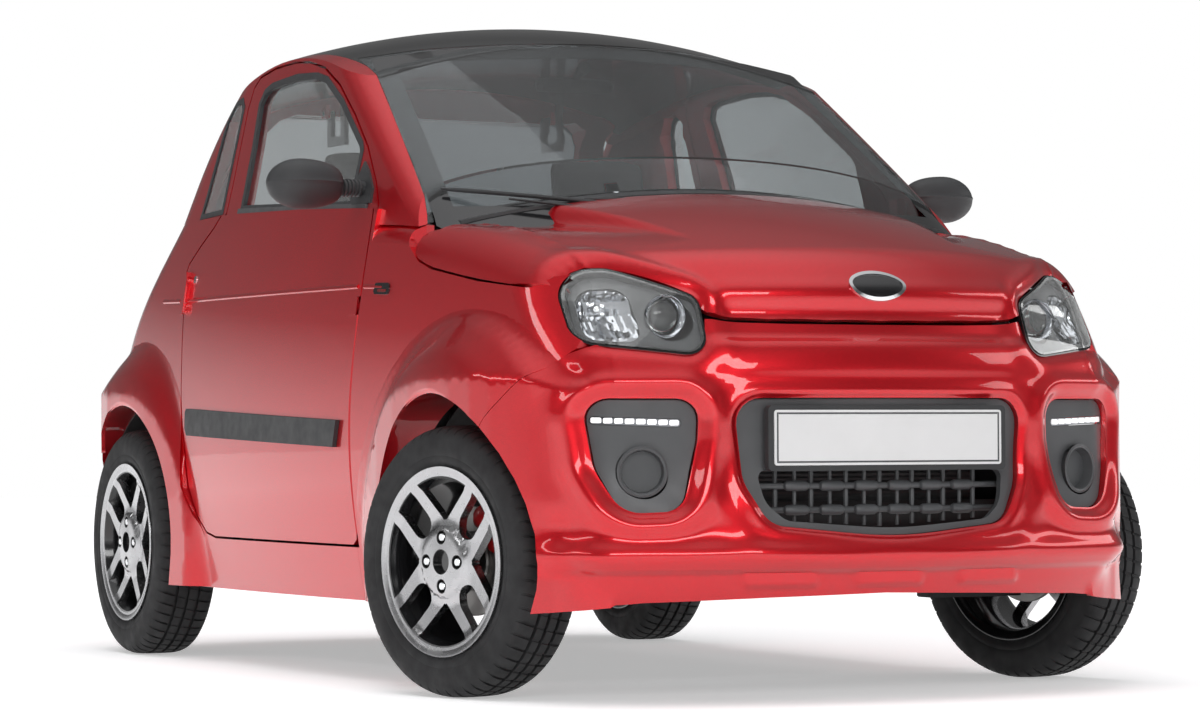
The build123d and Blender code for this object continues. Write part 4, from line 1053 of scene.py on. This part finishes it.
# the lip's outline in side view: sill, opening, the seam it ends at, and its outer edge on the body
FLARE_FRONT = ([(-597.5, 182), (-584, 260)] + arc(ARCH_Y, 345.2, -583.3, -1137, 40)
               + [(-1150, 568.6), (-1239, 645.6), (-1262, 667), (-1276, 680)]
               + arc(ARCH_Y, 533.0, -1276, -424, 44) + [(-423, 440), (-423, 182)])
FLARE_REAR = ([(702, 182), (689, 258)] + arc(AXLE_Y, 340.2, 688.5, 1286, 40)
              + [(1290.4, 499.4), (1329.6, 559.4), (1399, 594.4)] + arc(AXLE_Y, 512.0, 1420, 690, 44)
              + [(684, 632), (658, 526), (632, 420), (587, 352), (548, 318), (526, 290), (522, 182)])
RINGS_FRONT = (347.5, 351, 356, 364, 376, 392, 410, 428, 446, 462, 476, 490, 504, 518)
RINGS_REAR = (342.5, 346, 351, 359, 371, 387, 405, 423, 440, 455, 468, 480, 494)


def arch_flare(name, loop, field, middle, edge, radii):
    """Smooth lip of a wheel arch, laid over the panel behind it; its outer edge sinks into that panel."""
    def outer(y, z):
        p = side_view(field, 1)(y, z)
        sunk = 0.8 - 1.8 * smooth((np.hypot(p[:, 1] - middle, p[:, 2] - WHEEL_Z) - edge) / 26)
        return p + outward(field, p) * sunk[:, None]

    rings = [oval(middle, WHEEL_Z, r, r, 150) for r in radii]
    shell = sheet([loop], 12.0, outer, side_view(field, 1, -9.0), rings)
    for side, sign in SIDES:
        piece(f"arch_flare_{name}_{side}", on_side(shell, sign), RED, "chassis", crease=50)


# ---------------------------------------------------------------- mirrors
MIRROR_TIP, MIRROR_ROOT, MIRROR_R, MIRROR_FLAT = 886.0, 716.0, 55.0, 24.0
MIRROR_MID = (MIRROR_TIP + MIRROR_ROOT) / 2 + 8
MIRROR_PLACE, NECK_PLACE = (0, -320, 1088), (0, -317, 1081)
MIRROR_BASE = [(-372, 1046), (-272, 1046), (-272, 1100), (-296, 1142), (-330, 1118), (-368, 1078)]


def mirrors():
    """Egg-shaped mirror on a ribbed neck, made for the right side."""
    tip, mid, root, r = MIRROR_TIP, MIRROR_MID, MIRROR_ROOT, MIRROR_R
    egg = [(-tip, 0)] + [(-(mid + (tip - mid) * cos(a)), r * sin(a)) for a in np.linspace(0.12, pi / 2, 14)]
    egg += [(-(mid - (mid - root) * sin(a)), 22 + (r - 22) * cos(a)) for a in np.linspace(0.1, pi / 2, 12)]
    round_shell, faces = lathe(egg + [(-root, 0)])
    shell = []
    for x, y, z in round_shell:
        ridge = 3.0 * bell((z - 4) / 3.0) if y < 0 else 0.0
        shell.append((x, min(y, MIRROR_FLAT) if y > 0 else y * 0.92 - ridge, z))
    ribs = []
    for k in range(6):
        x, top = -root - 4 + 9 * k, 20.5 - k * 0.3
        ribs += [(x, 16), (x + 2, top), (x + 5, top), (x + 7, 16)]
    neck = lathe([(-root - 8, 0), (-root - 8, 15)] + ribs + [(-656, 15), (-656, 0)], 40)
    glass = sheet([oval(-mid, MIRROR_PLACE[2], -68.6, 46, 40)], 20.0, flat_view(-295.2), flat_view(-297.0))
    base = sheet([MIRROR_BASE], 14.0, side_view(upper_skin, -1, 5.0), side_view(upper_skin, -1, -3.0))
    shell = moved((shell, faces), Matrix.Translation(MIRROR_PLACE))
    neck = moved(neck, Matrix.Translation(NECK_PLACE))
    for side, sign in SIDES:
        body = f"door_{side}"
        piece(f"mirror_shell_{side}", on_side(shell, sign, -1), TRIM, body, f"mirror_{side}")
        piece(f"mirror_neck_{side}", on_side(neck, sign, -1), TRIM, body)
        piece(f"mirror_glass_{side}", on_side(glass, sign, -1), CHROME, body)
        piece(f"mirror_base_{side}", on_side(base, sign, -1), TRIM, body)


# ---------------------------------------------------------------- window trim and glass edges
DOOR_WINDOW = [(-262, 1047), (430, 1076), (432, 1122), (441, 1218), (461, 1330), (440, 1358), (397, 1369),
               (235, 1376), (103, 1368), (35, 1353), (-88, 1292), (-250, 1185), (-262, 1168)]
QUARTER_WINDOW = [(570, 1076), (737, 1072), (722, 1128), (704, 1223), (690, 1305), (655, 1345), (602, 1352),
                  (578, 1330), (574, 1240)]
BELT = [(-352, 1030), (-352, 1045), (-270, 1049), (448, 1078), (448, 1062)]
SCREEN = [(-600, 940), (600, 940), (640, 985), (634, 1005), (547, 1395), (538, 1401), (400, 1422),
          (200, 1436), (0, 1441), (-200, 1436), (-400, 1422), (-538, 1401), (-547, 1395),
          (-634, 1005), (-640, 985)]
SCREEN_CLEAR = [(-585, 1030), (585, 1030), (505, 1372), (380, 1392), (0, 1408), (-380, 1392), (-505, 1372)]
# each wiper: root, tip of the arm and end of the blade, in front view
WIPERS = (((150, 1010), (-60, 1032), (-330, 1034)), ((-330, 1006), (-480, 1030), (-590, 1060)))


def window_trim():
    """Seals round the side windows, and the strip under the door's window."""
    for side, sign in SIDES:
        def band(loops, out, into):
            return sheet(loops, 12.0, side_view(upper_skin, sign, out), side_view(upper_skin, sign, into))
        door = band([grow(DOOR_WINDOW, 7.0), grow(DOOR_WINDOW, -9.0)], 1.6, -9.0)
        quarter = band([grow(QUARTER_WINDOW, 5.0), grow(QUARTER_WINDOW, -8.0)], 1.4, -6.0)
        piece(f"door_window_seal_{side}", door, TRIM, f"door_{side}")
        piece(f"quarter_window_seal_{side}", quarter, TRIM, "chassis")
        piece(f"belt_strip_{side}", band([BELT], 4.0, -2.0), GREY, f"door_{side}")


def on_screen(out):
    return front_view(upper_skin, out, None, 100.0)


def windscreen_fittings():
    """Dark border of the windscreen, the inside mirror and the wipers."""
    edge = [p for p in grow(SCREEN, -3.0) if p[1] > 900]
    border = sheet([edge, SCREEN_CLEAR], 22.0, on_screen(-5.6), on_screen(-7.2))
    piece("screen_border", border, GLOSS, "chassis")
    mount = tube([(0, -62, 1392), (0, -40, 1384), (0, -18, 1372)], [16, 12, 9], 12)
    glass = tube([(-95, 2, 1352), (-88, 0, 1354), (0, -4, 1356), (88, 0, 1354), (95, 2, 1352)],
                 [14, 27, 30, 27, 14], 16, 0.62)
    piece("inside_mirror", join(mount, glass), CABIN, "chassis")
    parts = []
    for root, tip, end in WIPERS:
        arm = on_screen(12)(np.linspace(root[0], tip[0], 7), np.linspace(root[1], tip[1], 7))
        blade = on_screen(7)(np.linspace(tip[0] + 190, end[0], 12), np.linspace(tip[1] - 6, end[1], 12))
        parts += [tube(arm, [9, 8, 6, 5, 5, 4.5, 4], 8, 0.6), tube(blade, [3] + [6] * 10 + [3], 8, 0.8)]
    piece("wipers", join(*parts), TRIM, "chassis")


# ---------------------------------------------------------------- seats
# side outlines: y, z and corner radius; channels across: y, z and direction, of which each is a line
CUSHION = [(-30, 333, 14), (-48, 415, 30), (-22, 466, 26), (60, 478, 60), (330, 452, 60), (428, 466, 20),
           (446, 333, 14)]
BACK = [(408, 446, 18), (340, 476, 18), (338, 506, 20), (420, 900, 200), (456, 1058, 40), (482, 1083, 16),
        (518, 1083, 16), (543, 1050, 30), (520, 900, 200), (462, 446, 16)]
HEADREST = [(455, 1104, 12), (471, 1196, 30), (492, 1222, 20), (528, 1222, 20), (543, 1198, 20),
            (528, 1104, 12)]
CUSHION_CHANNELS = [(90, 470, 1, 0), (200, 465, 1, 0), (310, 458, 1, 0)]
BACK_CHANNELS = [(0, 620, 0, 1), (0, 740, 0, 1), (0, 860, 0, 1)]
HEADREST_CHANNELS = [(0, 1170, 0, 1)]
SEAT_X, PAD_STATIONS, CHANNEL_W = 300.0, 45, 5.0


def pad(outline, middle, half, bulge, seams, channels):
    """Crowned cushion: side outline carried across, pulled in at its ends, with sewn seams and channels."""
    loop = spaced(rounded(outline), 11.0)
    centre = np.mean(loop, 0)
    verts = []
    for k in range(PAD_STATIONS):
        across = 2.0 * k / (PAD_STATIONS - 1) - 1
        u = max(-1.0, min(1.0, 1.12 * across))
        end = 10.0 if abs(across) > 0.96 else 0.0
        pulled = 2.0 + 34.0 * (1 - (1 - min(abs(u), 0.9995) ** 7) ** (1 / 7.0)) + end
        ring = np.array(grow(loop, -pulled))
        for (a, b), (fa, fb) in zip(ring, loop):
            out = np.array([a, b]) - centre
            out /= max(np.hypot(*out), 1e-6)
            lift = bulge * (1 - u * u) - 6.5 * sum(bell((half * u - s) / CHANNEL_W) for s in seams)
            if abs(u) < 0.8:
                lift -= 6.0 * sum(bell(((fa - ca) * da + (fb - cb) * db) / CHANNEL_W)
                                  for ca, cb, da, db in channels)
            verts.append((middle + half * u, a + out[0] * lift, b + out[1] * lift))
    return verts, grid(PAD_STATIONS, len(loop))


def seat_frame(x):
    posts = [tube([(x + d, 498, 1074), (x + d, 498, 1112)], 6.0, 12) for d in (-64, 64)]
    rails = [tube([(x + d, 22, 222), (x + d, 60, 216), (x + d, 360, 216), (x + d, 398, 222)], 11.0, 10, 0.8)
             for d in (-165, 165)]
    hoop = [(-165, 222), (-150, 300), (-120, 334), (120, 334), (150, 300), (165, 222)]
    hoops = [tube([(x + d, y, z) for d, z in hoop], 9.0) for y in (80, 340)]
    return join(*posts, *rails, *hoops)


def seats():
    """Two seats, each of three padded pieces on a plain frame."""
    for side, sign in SIDES:
        x = sign * SEAT_X
        cushion = pad(CUSHION, x, 232, 6, (-140, 140), CUSHION_CHANNELS)
        back = pad(BACK, x, 222, 5, (-135, 135), BACK_CHANNELS)
        head = pad(HEADREST, x, 117, 4, (), HEADREST_CHANNELS)
        for part, solid, fill, nodes in (("cushion", cushion, 0.8, [f"seat_{side}"]), ("back", back, 0.8, []),
                                         ("head", head, 0.85, [])):
            soft = piece(f"seat_{part}_{side}", solid, CLOTH, "chassis", *nodes, crease=60)
        piece(f"seat_frame_{side}", seat_frame(x), STEEL, "chassis")


# ---------------------------------------------------------------- details of the body's sides, in side view
REPEATER = [(-560, 838, 11), (-480, 842, 8), (-486, 866, 6), (-554, 864, 11)]
REPEATER_LENS = [(-545, 844, 5), (-500, 846, 4), (-503, 852, 3), (-543, 850, 4)]
HINGE_COVER = [(-401, 800, 6), (-350, 800, 6), (-350, 840, 6), (-401, 840, 6)]
HANDLE = [(684, 842, 10), (704, 842, 10), (712, 930, 10), (696, 932, 10)]
LOCK, LOCK_R = (655, 918), 9


def crease(name, side, body, ends, z0, rise, n, out):
    """Pressed line along the body's side: a low rounded ridge that climbs by rise over its whole run."""
    sign = dict(SIDES)[side]
    line = [(y, z0 + rise[0] * (y - rise[1]) / rise[2]) for y in np.linspace(*ends, n)]
    p = on(side_view(lower_skin, sign), line)
    verts = []
    for q, m in zip(p, outward(lower_skin, p)):
        up = np.array([0.0, 0.0, 1.0]) - m * m[2]
        up /= np.linalg.norm(up)
        half = 6.0
        for a, b in ((half, -1.5), (half * 0.7, out * 0.35), (half * 0.1, out),
                     (-half * 0.5, out * 0.9), (-half, -1.5)):
            verts.append(q + up * a + m * b)
    piece(f"{name}_crease_{side}", (verts, grid(n, 5)), RED, body, crease=50)


def small_details():
    for side, sign in SIDES:
        door = f"door_{side}"

        def tab(name, loop, step, field, out, into, look, body):
            solid = sheet([loop], step, side_view(field, sign, out), side_view(field, sign, into))
            piece(f"{name}_{side}", solid, look, body)

        crease("door", side, door, (-396, 706), 862, (6, -400, 1130), 40, 4.0)
        crease("side", side, "chassis", (752, 900), 869, (4, 730, 170), 10, 4.0)
        crease("fender", side, "chassis", (-520, -426), 857, (4, -520, 100), 8, 3.5)
        tab("side_repeater", rounded(REPEATER), 8.0, front_skin, 3.0, -1.0, GLOSS, "chassis")
        tab("side_repeater_lens", rounded(REPEATER_LENS), 6.0, front_skin, 4.0, 2.0, LAMP_RED, "chassis")
        tab("hinge_cover", rounded(HINGE_COVER), 8.0, lower_skin, 0.9, -2.0, RED, door)
        tab("door_handle", rounded(HANDLE), 6.0, lower_skin, 9.0, -1.0, RED, door)
        tab("door_lock", oval(*LOCK, LOCK_R, LOCK_R, 24), 5.0, lower_skin, 2.5, -1.0, CHROME, door)


wheels()
headlamps()
fog_inserts()
grille()
plate()
hood()
emblem()
bumper()
arch_flare("front", FLARE_FRONT, front_skin, ARCH_Y, 505, RINGS_FRONT)
arch_flare("rear", FLARE_REAR, rear_skin, AXLE_Y, 484, RINGS_REAR)
mirrors()
window_trim()
windscreen_fittings()
seats()
small_details()
